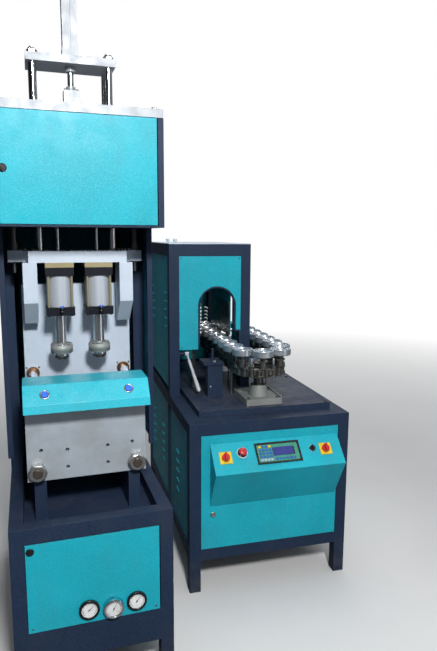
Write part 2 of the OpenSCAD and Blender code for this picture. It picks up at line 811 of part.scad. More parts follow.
module spacer_plates() {
    color([0.80, 0.70, 0.42]) at_unit() for (x = cavity_xs) translate([x, nozzle_y, seal_top])
        difference() {
            translate([-seal_w / 2, -seal_w / 2, 0]) cube([seal_w, seal_w, spacer_t]);
            translate([0, 0, -eps]) cylinder(r = head_rod_hole, h = spacer_t + 2 * eps);
        }
}

// Hollow nozzle rod with its piston, and the collar that seals on the neck
module nozzle(x) {
    piston_z = seal_low + seal_cap_h + 4;
    piston_t = 26;
    rod_r = nozzle_rod_d / 2;
    bore_r = stretch_rod_d / 2 + 2;
    collar_h = 40;
    boss_r = nozzle_d / 2 - 12;
    boss_h = 9;
    at_unit() translate([x, nozzle_y, 0]) {
        color(bright) rotate_extrude() polygon([[bore_r, nozzle_z + 8], [rod_r, nozzle_z + 8],
            [rod_r, piston_z], [seal_bore / 2 - free_fit, piston_z],
            [seal_bore / 2 - free_fit, piston_z + piston_t], [bore_r, piston_z + piston_t]]);
        color(steel) translate([0, 0, nozzle_z]) rotate_extrude($fn = 96)
            polygon([[bore_r, 0], [boss_r, 0], [boss_r, boss_h],
                [nozzle_d / 2 - 1.5, boss_h], [nozzle_d / 2, boss_h + 1.5],
                [nozzle_d / 2, collar_h - 2], [nozzle_d / 2 - 2, collar_h],
                [rod_r + seam, collar_h], [rod_r + seam, 8 - seam], [bore_r, 8 - seam]]);
    }
}
module left_nozzle() { nozzle(cavity_xs[0]); }
module right_nozzle() { nozzle(cavity_xs[1]); }

// Table of the heater
table_top_t = 3;
heater_door_w = table_w - 2 * tube_w - door_gap - hinge_gap;
heater_door_z = table_low_z + table_rail_h + door_gap;
heater_door_h = table_h - table_rail_h - door_gap - heater_door_z;
heater_door_at = [tube_w + door_gap, -door_proud, heater_door_z];
heater_lock_at = [heater_door_at[0] + 50, -door_proud, heater_door_z + 146.5];
divider_y = 462;
divider_w = 28;
shaft_d = 42;
sprocket_x = 347;
front_sprocket_y = 185;

module table_frame() {
    rails = [[table_low_z, table_low_z + table_rail_h], [table_h - table_rail_h, table_h]];
    color(slate) at_heater() difference() {
        union() {
            for (x = [0, table_w - tube_w], y = [0, table_d - tube_w])
                block([x, y, 0], [x + tube_w, y + tube_w, table_h]);
            for (z = rails) {
                for (y = [0, table_d - tube_w])
                    block([tube_w - eps, y, z[0]], [table_w - tube_w + eps, y + tube_w, z[1]]);
                for (x = [0, table_w - tube_w])
                    block([x, tube_w - eps, z[0]], [x + tube_w, table_d - tube_w + eps, z[1]]);
            }
            for (x = [0, table_w - tube_w])
                block([x, divider_y, table_low_z], [x + tube_w, divider_y + divider_w, table_h]);
            block([0, 0, table_h - table_top_t], [table_w, table_d, table_h]);
        }
        door_pin_bores(heater_door_at, heater_door_w, heater_door_h);
        translate([sprocket_x, front_sprocket_y, table_h - 20]) cylinder(d = shaft_d + 16, h = 40);
    }
}

// Pressed louvre on a sheet that faces -X, flat on its underside
module louvre(length) {
    r = 5;
    translate([0, -length / 2, 0]) intersection() {
        rotate([-90, 0, 0]) cylinder(r = r, h = length);
        translate([-r, 0, 0]) cube([r + eps, length, r]);
    }
}

// Sheet that faces -X, with groups of louvres
module louvred_sheet(y0, y1, z0, z1, groups, rows, pitch, low) {
    block([0, y0, z0], [sheet_t, y1, z1]);
    for (y = groups, i = [0:rows - 1]) translate([eps, y, low + i * pitch]) louvre(50);
}

louvre_out = 5;
table_louvre_ys = [640, 940];
table_louvre_rise = 148;
module table_panels() {
    zs = [table_low_z + table_rail_h, table_h - table_rail_h];
    color(teal) at_heater() {
        for (side = [0, 1]) translate([side * table_w, 0, 0]) mirror([side, 0, 0])
            translate([louvre_out + 1, 0, 0]) {
                louvred_sheet(tube_w, divider_y, zs[0], zs[1], [270], 5, 44,
                    zs[0] + table_louvre_rise);
                louvred_sheet(divider_y + divider_w, table_d - tube_w, zs[0], zs[1],
                    table_louvre_ys, 5, 44, zs[0] + table_louvre_rise);
            }
        block([tube_w, table_d - louvre_out - sheet_t, zs[0]],
            [table_w - tube_w, table_d - louvre_out, zs[1]]);
    }
}

module heater_door() {
    color(teal) at_heater() difference() {
        translate(heater_door_at) door_shell(heater_door_w, heater_door_h);
        translate(heater_lock_at - [0, eps, 0]) bar_y(lock_shank_r + run_fit, door_depth);
    }
}

module heater_door_lock() {
    color(steel) at_heater() translate(heater_lock_at) quarter_lock(true);
}

// Console: a folded wedge on the door, its controls on the upper slope
console_top = table_h - console_below;
console_ridge_z = console_top - console_drop;
console_foot_z = console_top - console_h;
console_tilt = atan2(console_drop, console_reach);
console_line = [[-door_proud, console_foot_z], [-door_proud - console_reach, console_ridge_z],
    [-door_proud, console_top]];
switch_xs = [136, 563];
switch_s = 64;
stop_x = 206;
stop_s = 50;
selector_x = 507;
selector_s = 57;
display_x = 357;
display_s = 61;
display_w = 190;
display_h = 90;
shank_r = 8;

// Puts a child on the slope, at x and a distance s down from its top edge
module on_console(x, s) {
    translate([x, -door_proud, console_top]) rotate([console_tilt, 0, 0])
        translate([0, -s, 0]) children();
}

module console() {
    color(teal) at_heater() difference() {
        translate([console_x, 0, 0]) union() {
            along_x(console_w) polygon(folded(console_line, -sheet_t));
            for (x = [0, console_w - sheet_t]) translate([x, 0, 0])
                along_x(sheet_t) polygon(console_line);
        }
        block([console_x - 1, -door_proud, console_foot_z - 9],
            [console_x + console_w + 1, door_depth, console_top + 9]);
        for (x = switch_xs) on_console(x, switch_s) translate([0, 0, -6])
            cylinder(r = shank_r + free_fit, h = 12);
        on_console(stop_x, stop_s) translate([0, 0, -6]) cylinder(r = shank_r + free_fit, h = 12);
        on_console(selector_x, selector_s) translate([0, 0, -6])
            cylinder(r = shank_r + free_fit, h = 12);
    }
}

switch_plate_w = 50;
switch_plate_t = 3;
module switch_plates() {
    color([0.95, 0.80, 0.05]) at_heater() for (x = switch_xs) on_console(x, switch_s)
        difference() {
            translate([-switch_plate_w / 2, -switch_plate_w / 2, 0])
                cube([switch_plate_w, switch_plate_w, switch_plate_t]);
            translate([0, 0, -eps]) cylinder(r = shank_r + free_fit, h = switch_plate_t + 1);
        }
}

// Red rotary handle: disc, raised grip bar and shank through the panel
module rotary_handle(x) {
    z = switch_plate_t + free_fit;
    color([0.85, 0.10, 0.08]) at_heater() on_console(x, switch_s) {
        translate([0, 0, -20]) cylinder(r = shank_r, h = 20 + z + 1);
        translate([0, 0, z]) cylinder(r1 = 17, r2 = 16, h = 8);
        translate([-4.5, -16, z + 4]) cube([9, 32, 16]);
    }
}
module left_switch_knob() { rotary_handle(switch_xs[0]); }
module right_switch_knob() { rotary_handle(switch_xs[1]); }

stop_travel = 5;
module emergency_stop() {
    color([0.80, 0.06, 0.06]) at_heater() on_console(stop_x, stop_s) rotate_extrude()
        polygon([[0, -18], [shank_r, -18], [shank_r, 12], [14, 13], [16, 15], [16, 21],
            [13, 24.5], [7, 26], [0, 26.4]]);
}

module selector_knob() {
    color(dark) at_heater() on_console(selector_x, selector_s) {
        translate([0, 0, -18]) cylinder(r = shank_r, h = 20);
        translate([0, 0, free_fit]) cylinder(r1 = 12, r2 = 11, h = 8);
        translate([-2.5, -10, 6]) cube([5, 20, 10]);
    }
}

// Keypad and screen in a black frame: keys 4 by 5, a window and a row of keys
module display_panel() {
    rim = 7;
    color(dark) at_heater() on_console(display_x, display_s) translate([-display_w / 2, -display_h / 2, 0]) {
        difference() {
            cube([display_w, display_h, 6]);
            translate([rim, rim, 3]) cube([display_w - 2 * rim, display_h - 2 * rim, 4]);
        }
        for (i = [0:3], j = [0:4]) translate([rim + 8 + i * 14, rim + 5 + j * 14, 3 - eps])
            cube([10, 9, 2]);
        translate([rim + 72, rim + 25, 3 - eps]) cube([86, 34, 2]);
        for (i = [0:5]) translate([rim + 72 + i * 15, rim + 6, 3 - eps]) cube([10, 9, 2]);
    }
}

// Oven
oven_y = 427;
oven_back = oven_y + oven_d;
plinth_h = 25;
plinth_z = table_h + plinth_h;
chain_z = plinth_z + chain_rise;
oven_top_z = table_h + oven_h;
oven_panel_z = table_h + oven_panel_rise;
arch_top = table_h + arch_rise;
oven_rail_h = 54;
opening_z = arch_top + 20;
opening_y = 700;
oven_louvre_ys = [550, 937];
oven_louvre_rise = 283;

module oven_frame() {
    inner = oven_w - tube_w;
    rail_z = oven_top_z - oven_rail_h;
    color(slate) at_heater() {
        for (y = [oven_y, oven_back - tube_w])
            block([0, y, table_h], [tube_w, y + tube_w, oven_top_z]);
        block([inner, oven_y, plinth_z], [oven_w, oven_y + tube_w, oven_top_z]);
        block([inner, oven_back - tube_w, table_h], [oven_w, oven_back, oven_top_z]);
        for (y = [oven_y, oven_back - tube_w])
            block([tube_w - eps, y, rail_z], [inner + eps, y + tube_w, oven_top_z]);
        for (x = [0, inner])
            block([x, oven_y + tube_w - eps, rail_z], [x + tube_w, oven_back - tube_w + eps, oven_top_z]);
        lever_stub();
    }
}

// Stub shaft on the left front post, with the collars that hold the lever's hub
lever_at = [86, oven_y + 34, plinth_z + 167];
lever_shaft_r = 6;
lever_hub_w = 18;
module lever_stub() {
    hub_left = lever_at[0] - lever_hub_w / 2 - free_fit;
    hub_right = lever_at[0] + lever_hub_w / 2 + free_fit;
    for (part = [[tube_w - eps, hub_left, 9], [tube_w, hub_right + 1, lever_shaft_r], [hub_right, hub_right + 4, 9]])
        translate([part[0], lever_at[1], lever_at[2]]) rotate([0, 90, 0])
            cylinder(r = part[2], h = part[1] - part[0]);
}

// Outline of the arch: round top, straight sides and a step for the chain
arch_x = 223.5;
step_x = 332;
step_z = chain_z + 125;
module arch_outline(low) {
    r = arch_w / 2;
    translate([arch_x, arch_top - r]) circle(r = r, $fn = 96);
    translate([arch_x - r, low]) square([arch_w, arch_top - r - low]);
    translate([arch_x, low]) square([step_x - arch_x, step_z - low]);
}

// Front panel, with a folded dark rim round the arch
panel_sink = 1;
rim_depth = 22;
module oven_front_panel() {
    color(teal) at_heater() translate([0, oven_y + panel_sink, 0]) {
        translate([0, sheet_t, 0]) rotate([90, 0, 0]) linear_extrude(sheet_t) difference() {
            translate([tube_w, oven_panel_z])
                square([oven_w - 2 * tube_w, oven_top_z - oven_rail_h - oven_panel_z]);
            arch_outline(oven_panel_z - 1);
        }
        translate([0, rim_depth, 0]) rotate([90, 0, 0]) linear_extrude(rim_depth - sheet_t + eps)
            difference() {
                translate([arch_x, arch_top - arch_w / 2]) circle(r = arch_w / 2 + sheet_t, $fn = 96);
                translate([arch_x, arch_top - arch_w / 2]) circle(r = arch_w / 2, $fn = 96);
                translate([arch_x - arch_w, arch_top - 2 * arch_w]) square([2 * arch_w, 1.5 * arch_w]);
            }
    }
}

// Left sheet with louvres, right sheet cut out for the chain, inner wall, back
mirror_wall_x = 298;
mirror_wall_end = 830;
module oven_panels() {
    z1 = oven_top_z - oven_rail_h;
    y0 = oven_y + tube_w;
    y1 = oven_back - tube_w;
    color(teal) at_heater() {
        translate([louvre_out + 1, 0, 0])
            louvred_sheet(y0, y1, plinth_z, z1, oven_louvre_ys, 5, 40, plinth_z + oven_louvre_rise);
        difference() {
            block([oven_w - 6 - sheet_t, y0, plinth_z], [oven_w - 6, y1, z1]);
            block([oven_w - 20, opening_y, plinth_z - 1], [oven_w + 1, y1 + 1, opening_z]);
        }
        block([mirror_wall_x + sheet_t, y0, lamp_low - 20],
            [mirror_wall_x + 2 * sheet_t, mirror_wall_end, oven_top_z]);
        block([tube_w, oven_back - 1 - sheet_t, plinth_z], [oven_w - tube_w, oven_back - 1, z1]);
    }
}

// Pale lid with two grip knobs
lid_t = 3;
module oven_top() {
    color(pale) at_heater() {
        block([0, oven_y, oven_top_z], [oven_w, oven_back, oven_top_z + lid_t]);
        for (p = [[36, 43], [26, 173]])
            translate([p[0], oven_y + p[1], oven_top_z + lid_t - eps]) rotate_extrude()
                polygon([[0, 0], [5, 0], [5, 8], [9, 10], [9, 18], [7, 20], [0, 20]]);
    }
}

// Tube lamps along the chain's left run, in comb plates at both ends
lamp_x = 150;
lamp_low = chain_z + 116;
lamp_d = 10;
comb_ys = [490, 1000];
comb_t = 4;
module heat_lamps() {
    cap_l = 12;
    color([0.90, 0.88, 0.85]) at_heater() for (i = [0:lamp_count - 1])
        translate([lamp_x, comb_ys[0] - cap_l, lamp_low + i * lamp_pitch])
            turned_y([[0, 0], [lamp_d / 2 - 1, 0], [lamp_d / 2, 1],
                [lamp_d / 2, comb_ys[1] + comb_t + 2 * cap_l - comb_ys[0] - 1],
                [lamp_d / 2 - 1, comb_ys[1] + comb_t + 2 * cap_l - comb_ys[0]],
                [0, comb_ys[1] + comb_t + 2 * cap_l - comb_ys[0]]]);
}

// Comb plates that hold the lamps, the mirror behind them and the one opposite
module lamp_reflectors() {
    top = lamp_low + (lamp_count - 1) * lamp_pitch + 20;
    low = lamp_low - 20;
    mirror_x = lamp_x - 30;
    leg = 14;
    color(bright) at_heater() {
        difference() {
            union() {
                for (y = comb_ys) {
                    block([mirror_x, y, plinth_z], [mirror_x + leg, y + comb_t, low + eps]);
                    block([mirror_x, y, low], [lamp_x + 14, y + comb_t, top]);
                }
                block([mirror_x, comb_ys[0], low], [mirror_x + sheet_t, comb_ys[1] + comb_t, top]);
            }
            for (y = comb_ys, i = [0:lamp_count - 1])
                translate([lamp_x, y - 1, lamp_low + i * lamp_pitch])
                    bar_y(lamp_d / 2 + 0.2, comb_t + 2);
        }
        block([mirror_wall_x, comb_ys[0], low], [mirror_wall_x + sheet_t, mirror_wall_end, top]);
        for (y = [comb_ys[0], mirror_wall_end - 130])
            block([mirror_wall_x, y, plinth_z], [mirror_wall_x + sheet_t, y + leg, low + eps]);
    }
}

// Raised plinth with the box column beside the chain
plinth_x = 58;
plinth_y = 83;
plinth_w = 582;
plinth_d = 950;
plinth_wall = 3;
column_x = 145;
column_y = 287;
column_w = 68;
column_depth = 58;
column_h = 145;
column_top = plinth_z + column_h;
module chain_plinth() {
    color(slate) at_heater() difference() {
        union() {
            difference() {
                block([plinth_x, plinth_y, table_h],
                    [plinth_x + plinth_w, plinth_y + plinth_d, plinth_z]);
                block([plinth_x + plinth_wall, plinth_y + plinth_wall, table_h - 1],
                    [plinth_x + plinth_w - plinth_wall, plinth_y + plinth_d - plinth_wall,
                        plinth_z - plinth_wall]);
            }
            block([column_x, column_y, plinth_z - eps],
                [column_x + column_w, column_y + column_depth, column_top]);
            block([column_x - 18, column_y - 7, column_top - eps],
                [column_x + column_w + 4, column_y + column_depth + 35, column_top + 12]);
            translate([column_x + 27, column_y + 24, column_top]) cylinder(r = 6, h = 70);
        }
        translate([sprocket_x, front_sprocket_y, table_h]) cylinder(d = shaft_d + 16, h = 40);
    }
}

// Roller chain in a closed loop round two equal sprockets
sprocket_r = chain_pitch / 2 / sin(180 / sprocket_teeth);
arc_links = sprocket_teeth / 2;
loop_links = 2 * (straight_links + arc_links);
rear_sprocket_y = front_sprocket_y + straight_links * chain_pitch;
roller_r = 9.5;
roller_w = 19;
link_plate_t = 3.5;
link_plate_r = 13;
pin_r = 5;
link_gap = 0.4;

// Centre of chain pin k: left run, rear arc, right run, then front arc
function chain_pin(k) =
    k <= straight_links ? [sprocket_x - sprocket_r, front_sprocket_y + k * chain_pitch]
    : k <= straight_links + arc_links
        ? let (a = 180 - (k - straight_links) * 180 / arc_links)
            [sprocket_x + sprocket_r * cos(a), rear_sprocket_y + sprocket_r * sin(a)]
    : k <= 2 * straight_links + arc_links
        ? [sprocket_x + sprocket_r,
            rear_sprocket_y - (k - straight_links - arc_links) * chain_pitch]
    : let (a = -(k - 2 * straight_links - arc_links) * 180 / arc_links)
        [sprocket_x + sprocket_r * cos(a), front_sprocket_y + sprocket_r * sin(a)];

// Moves a child from the X axis onto link k, its first pin at the origin
module on_link(k) {
    a = chain_pin(k);
    b = chain_pin(k + 1);
    translate([a[0], a[1], chain_z]) rotate(atan2(b[1] - a[1], b[0] - a[0])) children();
}

// Plate with round ends between two pins
module link_plate(z) {
    translate([0, 0, z]) linear_extrude(link_plate_t) {
        circle(r = link_plate_r);
        translate([chain_pitch, 0]) circle(r = link_plate_r);
        translate([0, -link_plate_r + 1.5]) square([chain_pitch, 2 * link_plate_r - 3]);
    }
}

inner_z = roller_w / 2;
outer_z = inner_z + link_plate_t + link_gap;
module inner_link() {
    difference() {
        union() {
            for (z = [inner_z, -inner_z - link_plate_t]) link_plate(z);
            for (x = [0, chain_pitch]) translate([x, 0, -inner_z - eps])
                cylinder(r = roller_r, h = roller_w + 2 * eps);
        }
        for (x = [0, chain_pitch]) translate([x, 0, -inner_z - link_plate_t - 1])
            cylinder(r = pin_r + free_fit, h = roller_w + 2 * link_plate_t + 2);
    }
}

// Outer link; each of its two pins can be a tall one with a thick foot
tall_pin_h = 60;
module outer_link(tall) {
    pin_l = 2 * (outer_z + link_plate_t) + 3;
    for (z = [outer_z, -outer_z - link_plate_t]) link_plate(z);
    for (i = [0, 1]) translate([i * chain_pitch, 0, 0]) {
        translate([0, 0, -pin_l / 2]) cylinder(r = pin_r, h = pin_l);
        if (tall[i]) {
            cylinder(r = pin_r - 0.5, h = tall_pin_h);
            translate([0, 0, outer_z + link_plate_t - eps]) cylinder(r = link_plate_r - 2, h = 13);
        }
    }
}

module chain() {
    color([0.25, 0.24, 0.23]) at_heater() for (k = [0:loop_links - 1])
        on_link(k) if (k % 2 == 0) outer_link([for (i = [0, 1]) (k + i) % links_per_holder == 0]);
            else inner_link();
}

// Toothed disc whose flared gullets fit the chain rollers, with hub and shaft
tooth_tip = 5;
gullet_flare = 2;
gullet_r = roller_r + link_gap;
sprocket_hub_r = 36;
module sprocket(shaft_low) {
    half_t = inner_z - 1;
    rim_r = sprocket_r - gullet_r;
    difference() {
        translate([0, 0, -half_t]) cylinder(r = sprocket_r + tooth_tip, h = 2 * half_t, $fn = 120);
        for (i = [0:sprocket_teeth - 1]) rotate(i * 360 / sprocket_teeth)
            translate([sprocket_r, 0, -inner_z]) {
                cylinder(r = gullet_r, h = 2 * inner_z);
                linear_extrude(2 * inner_z) polygon([[0, -gullet_r],
                    [tooth_tip + 1, -gullet_r - gullet_flare], [tooth_tip + 1, gullet_r + gullet_flare],
                    [0, gullet_r]]);
            }
        for (i = [0:5]) rotate(30 + i * 60) translate([(rim_r + sprocket_hub_r) / 2, 0, -inner_z])
            cylinder(r = (rim_r - sprocket_hub_r) / 4, h = 2 * inner_z);
    }
    translate([0, 0, -half_t - 14]) cylinder(r = sprocket_hub_r, h = 2 * half_t + 20);
    translate([0, 0, -shaft_low]) cylinder(d = shaft_d, h = shaft_low + 24);
}

gearbox_top = table_h - table_top_t;
gearbox_h = 112;
module sprockets() {
    color([0.35, 0.34, 0.33]) at_heater() {
        translate([sprocket_x, front_sprocket_y, chain_z])
            sprocket(chain_z - gearbox_top + gearbox_h - 12);
        translate([sprocket_x, rear_sprocket_y, chain_z]) sprocket(chain_z - plinth_z - 5);
    }
}

// Slide plate and cone housing under each sprocket
block_h = 27;
cone_h = 48;
module bearing(front_l, back_l) {
    half_w = 76;
    difference() {
        union() {
            block([-half_w, -front_l, 0], [half_w, back_l, block_h]);
            block([half_w - eps, -front_l, 0], [half_w + 5, back_l, block_h + 8]);
            translate([0, 0, block_h - eps]) cylinder(r1 = 42, r2 = 35, h = cone_h);
        }
        translate([0, 0, -1]) cylinder(r = shaft_d / 2 + 0.1, h = block_h + cone_h + 3);
    }
}

module bearing_blocks() {
    color([0.60, 0.59, 0.55]) at_heater() {
        translate([sprocket_x, front_sprocket_y, plinth_z]) bearing(75, 120);
        translate([sprocket_x, rear_sprocket_y, plinth_z]) bearing(75, 75);
    }
}

// Wear strips that carry the rollers along the inside of both straight runs
guide_strip_w = 12;
module chain_guides() {
    half_t = inner_z - 1;
    inside = sprocket_r - gullet_r;
    start = sqrt(pow(sprocket_r + tooth_tip, 2) - pow(inside - guide_strip_w, 2)) + 2;
    y0 = front_sprocket_y + start;
    y1 = rear_sprocket_y - start;
    leg_r = 4;
    leg_x = sprocket_r - link_plate_r - 2 * free_fit - leg_r;
    color(pale) at_heater() for (side = [-1, 1]) {
        x = sprocket_x + side * (inside - guide_strip_w / 2);
        block([x - guide_strip_w / 2, y0, chain_z - half_t], [x + guide_strip_w / 2, y1, chain_z + half_t]);
        for (y = [y0 + 60, y1 - 60]) translate([sprocket_x + side * leg_x, y, plinth_z])
            cylinder(r = leg_r, h = chain_z - half_t - plinth_z + eps);
    }
}

// Preform holders: a carrier on the link, and a turned cup with its toothed
// wheel and mandrel that spins in the carrier's sleeve
sleeve_r = 15;
sleeve_h = 24;
carrier_z = outer_z + link_plate_t + 2;
spindle_r = 7;
holder_z = carrier_z + 4 + sleeve_h + 1;
module carrier(is_outer) {
    web = is_outer ? chain_pitch - 2 * pin_r - 2 : chain_pitch - 2 * link_plate_r - 1;
    web_z = is_outer ? outer_z + link_plate_t : inner_z + link_plate_t;
    difference() {
        union() {
            block([-10, -sleeve_r, carrier_z], [10, sleeve_r, carrier_z + 4]);
            block([-web / 2, -10, web_z], [web / 2, 10, carrier_z + eps]);
            translate([0, 0, carrier_z]) cylinder(r = sleeve_r, h = sleeve_h + 4);
        }
        translate([0, 0, carrier_z + 1]) cylinder(r = spindle_r + free_fit, h = sleeve_h + 10);
    }
}

module holder() {
    cup_r = cup_d / 2;
    wheel_t = 7;
    neck = 16;
    cup_h = 27;
    cup_low = wheel_t + neck;
    translate([0, 0, holder_z]) {
        difference() {
            cylinder(r = 20, h = wheel_t);
            for (i = [0:13]) rotate(i * 360 / 14) translate([21, 0, -1]) cylinder(r = 3, h = wheel_t + 2);
        }
        rotate_extrude($fn = 96) polygon([[0, -sleeve_h], [spindle_r, -sleeve_h], [spindle_r, eps],
            [12, eps], [12, cup_low], [cup_r - 3, cup_low], [cup_r, cup_low + 3],
            [cup_r, cup_low + cup_h - 1], [cup_r - 1, cup_low + cup_h],
            [cup_r - 5, cup_low + cup_h], [cup_r - 7, cup_low + cup_h - 8],
            [14, cup_low + cup_h - 8], [12, cup_low + cup_h - 2], [0, cup_low + cup_h - 2]]);
    }
}

module preform_holders() {
    at_heater() for (k = [1:links_per_holder:loop_links - 1])
        on_link(k) translate([chain_pitch / 2, 0, 0]) {
            color([0.35, 0.34, 0.33]) carrier(k % 2 == 0);
            color(bright) holder();
        }
}

// Hand lever that hangs out under the oven's front panel: hub, bar and grip
lever_drop = 41.1;
lever_aside = 8.3;
lever_l = 216;
lever_grip_l = 176;
lever_hub_r = 11;
module hand_lever() {
    color(pale) at_heater() translate(lever_at) difference() {
        union() {
            rotate([0, 90, 0]) cylinder(r = lever_hub_r, h = lever_hub_w, center = true);
            rotate([90 + lever_drop, 0, lever_aside]) {
                cylinder(r = 4.5, h = lever_l - lever_grip_l + 1);
                translate([0, 0, lever_l - lever_grip_l]) rotate_extrude()
                    polygon([[0, 0], [5.5, 0], [6.5, 4], [6.5, lever_grip_l - 116],
                        [8.5, lever_grip_l - 51], [9, lever_grip_l - 16],
                        [8, lever_grip_l - 6], [4, lever_grip_l], [0, lever_grip_l]]);
            }
        }
        rotate([0, 90, 0])
            cylinder(r = lever_shaft_r + run_fit, h = lever_hub_w + 2, center = true);
    }
}

// Gearbox and motor under the table top, on the front sprocket's shaft
module gearmotor() {
    half = 75;
    motor_r = gearbox_h / 2 - 4;
    neck_l = 20;
    motor_l = 210;
    end_cap = 20;
    color(steel) at_heater() translate([sprocket_x, front_sprocket_y, gearbox_top - gearbox_h]) {
        difference() {
            block([-half, -half, 0], [half, half, gearbox_h]);
            translate([0, 0, 10]) cylinder(r = shaft_d / 2 + 0.1, h = gearbox_h);
        }
        translate([0, half - eps, gearbox_h / 2]) turned_y([[0, 0], [motor_r * 0.7, 0],
            [motor_r * 0.7, neck_l], [motor_r, neck_l], [motor_r, motor_l - end_cap],
            [motor_r - 8, motor_l], [0, motor_l]]);
    }
}

blower_frame();
base_panels();
base_door();
base_door_lock();
gauges();
front_plate();
tie_bars();
tie_bar_nuts();
moving_platen();
platen_bushes();
rear_plate();
clamp_cylinder();
clamp_piston_rod();
guard();
left_start_button();
right_start_button();
upper_frame();
body_panels();
upper_door();
upper_door_knob();
top_plate();
stretch_bridge();
bridge_columns();
stretch_cylinder();
stretch_piston_rod();
stretch_crosshead();
stretch_rods();
guide_rods();
head_beams();
beam_arms();
beam_columns();
seal_cylinders();
spacer_plates();
left_nozzle();
right_nozzle();
table_frame();
table_panels();
heater_door();
heater_door_lock();
console();
switch_plates();
left_switch_knob();
right_switch_knob();
emergency_stop();
selector_knob();
display_panel();
oven_frame();
oven_front_panel();
oven_panels();
oven_top();
heat_lamps();
lamp_reflectors();
chain_plinth();
bearing_blocks();
sprockets();
chain();
preform_holders();
chain_guides();
hand_lever();
gearmotor();
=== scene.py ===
"""Dresses the two-unit stretch blow moulding machine and sets up its studio view.

Lengths of the pieces are millimetres in the corner of the blowing unit, or of the
heater table for the heater's pieces, as the part's source has them. Meshes are
written in metres in the part's frame. Colours are linear.
"""

from __future__ import annotations

import json
import logging
import math
from dataclasses import dataclass
from enum import Enum
from itertools import product
from typing import Iterable

import bpy
import numpy as np
from mathutils import Matrix

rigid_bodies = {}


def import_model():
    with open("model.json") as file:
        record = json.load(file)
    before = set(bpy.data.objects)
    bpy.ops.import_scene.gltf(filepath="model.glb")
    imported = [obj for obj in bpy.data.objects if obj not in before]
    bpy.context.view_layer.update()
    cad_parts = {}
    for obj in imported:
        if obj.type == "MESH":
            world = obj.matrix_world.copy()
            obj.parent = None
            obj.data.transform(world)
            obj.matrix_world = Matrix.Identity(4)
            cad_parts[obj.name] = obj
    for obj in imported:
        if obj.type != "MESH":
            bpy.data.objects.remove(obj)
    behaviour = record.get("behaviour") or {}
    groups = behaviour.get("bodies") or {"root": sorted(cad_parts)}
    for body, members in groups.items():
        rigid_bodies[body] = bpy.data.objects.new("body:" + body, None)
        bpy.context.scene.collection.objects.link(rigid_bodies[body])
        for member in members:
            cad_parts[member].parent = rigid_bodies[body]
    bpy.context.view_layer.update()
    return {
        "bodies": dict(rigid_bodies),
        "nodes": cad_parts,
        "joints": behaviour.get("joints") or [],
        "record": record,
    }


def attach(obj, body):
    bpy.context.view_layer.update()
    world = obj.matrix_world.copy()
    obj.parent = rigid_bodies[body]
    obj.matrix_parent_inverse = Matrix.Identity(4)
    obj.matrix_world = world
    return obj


Place = tuple[float, float, float]
Colour = tuple[float, float, float]
Pair = tuple[float, float]
Profile = list[Pair]
Socket = bpy.types.NodeSocket

LOG = logging.getLogger("blow_moulding_machine")
MM = 0.001
RIGHT, BACK, UP = (1.0, 0.0, 0.0), (0.0, 1.0, 0.0), (0.0, 0.0, 1.0)
LEFT, FRONT, DOWN = (-1.0, 0.0, 0.0), (0.0, -1.0, 0.0), (0.0, 0.0, -1.0)
UNIT_SHIFT = np.array([709.7345, 740.2989, 0.0])
HEATER_CORNER = (666.0, 404.0, 0.0)
HEATER_TURN = math.radians(3.37)
HEATER_RIGHT = (math.cos(HEATER_TURN), -math.sin(HEATER_TURN), 0.0)
HEATER_BACK = (math.sin(HEATER_TURN), math.cos(HEATER_TURN), 0.0)
AXIS_RADIUS = 0.05
WELD_REACH = 1e-4
CORNER_STEPS = 5


# --------------------------------------------------------------------- shapes


@dataclass
class Shape:
    """A mesh as plain arrays, in millimetres.

    Args:
        points: corner places, one row each.
        faces: lists of corner numbers.
        smooth: one flag per face, true where the face is part of a curve.
    """

    points: np.ndarray
    faces: list[list[int]]
    smooth: list[bool]

    def placed(self, frame: "Axes") -> "Shape":
        """Returns the shape moved from its own axes into the given ones."""
        return Shape(frame.carry(self.points), self.faces, self.smooth)

    def moved(self, step: Place) -> "Shape":
        """Returns the shape moved by a step."""
        return Shape(self.points + np.array(step, float), self.faces, self.smooth)

    @staticmethod
    def joined(shapes: list["Shape"]) -> "Shape":
        """Puts several shapes into one mesh.

        Args:
            shapes: the shapes, which keep their places.

        Returns:
            One shape that holds them all.
        """
        points, faces, smooth, start = [], [], [], 0
        for shape in shapes:
            points.append(shape.points)
            faces += [[corner + start for corner in face] for face in shape.faces]
            smooth += shape.smooth
            start += len(shape.points)
        return Shape(np.concatenate(points), faces, smooth)


@dataclass(frozen=True)
class Axes:
    """A place with three directions.

    Args:
        origin: the place, in millimetres.
        right, up, out: unit directions of the local x, y and z.
    """

    origin: Place
    right: Place = RIGHT
    up: Place = BACK
    out: Place = UP

    def carry(self, points: np.ndarray) -> np.ndarray:
        """Turns local points into outer ones, as origin plus the weighted axes."""
        ways = np.array([self.right, self.up, self.out], float)
        return points @ ways + np.array(self.origin, float)

    def place(self, x: float, y: float, z: float) -> Place:
        """Turns one local place into an outer one."""
        return tuple(self.carry(np.array([x, y, z], float)))

    def within(self, outer: "Axes") -> "Axes":
        """Returns these axes as they lie when they are local to other axes."""
        turn = Axes((0.0, 0.0, 0.0), outer.right, outer.up, outer.out)
        return Axes(outer.place(*self.origin), turn.place(*self.right),
                    turn.place(*self.up), turn.place(*self.out))


HEATER = Axes(HEATER_CORNER, HEATER_RIGHT, HEATER_BACK)


def facing_front(x: float, y: float, z: float) -> Axes:
    """Axes on a face that looks to the front: x right, y up, z towards the viewer."""
    return Axes((x, y, z), RIGHT, UP, FRONT)


def facing_back(x: float, y: float, z: float) -> Axes:
    """Axes on a face that looks to the back, its y downwards."""
    return Axes((x, y, z), RIGHT, DOWN, BACK)


def facing_left(x: float, y: float, z: float) -> Axes:
    """Axes on a face that looks to the left."""
    return Axes((x, y, z), FRONT, UP, LEFT)


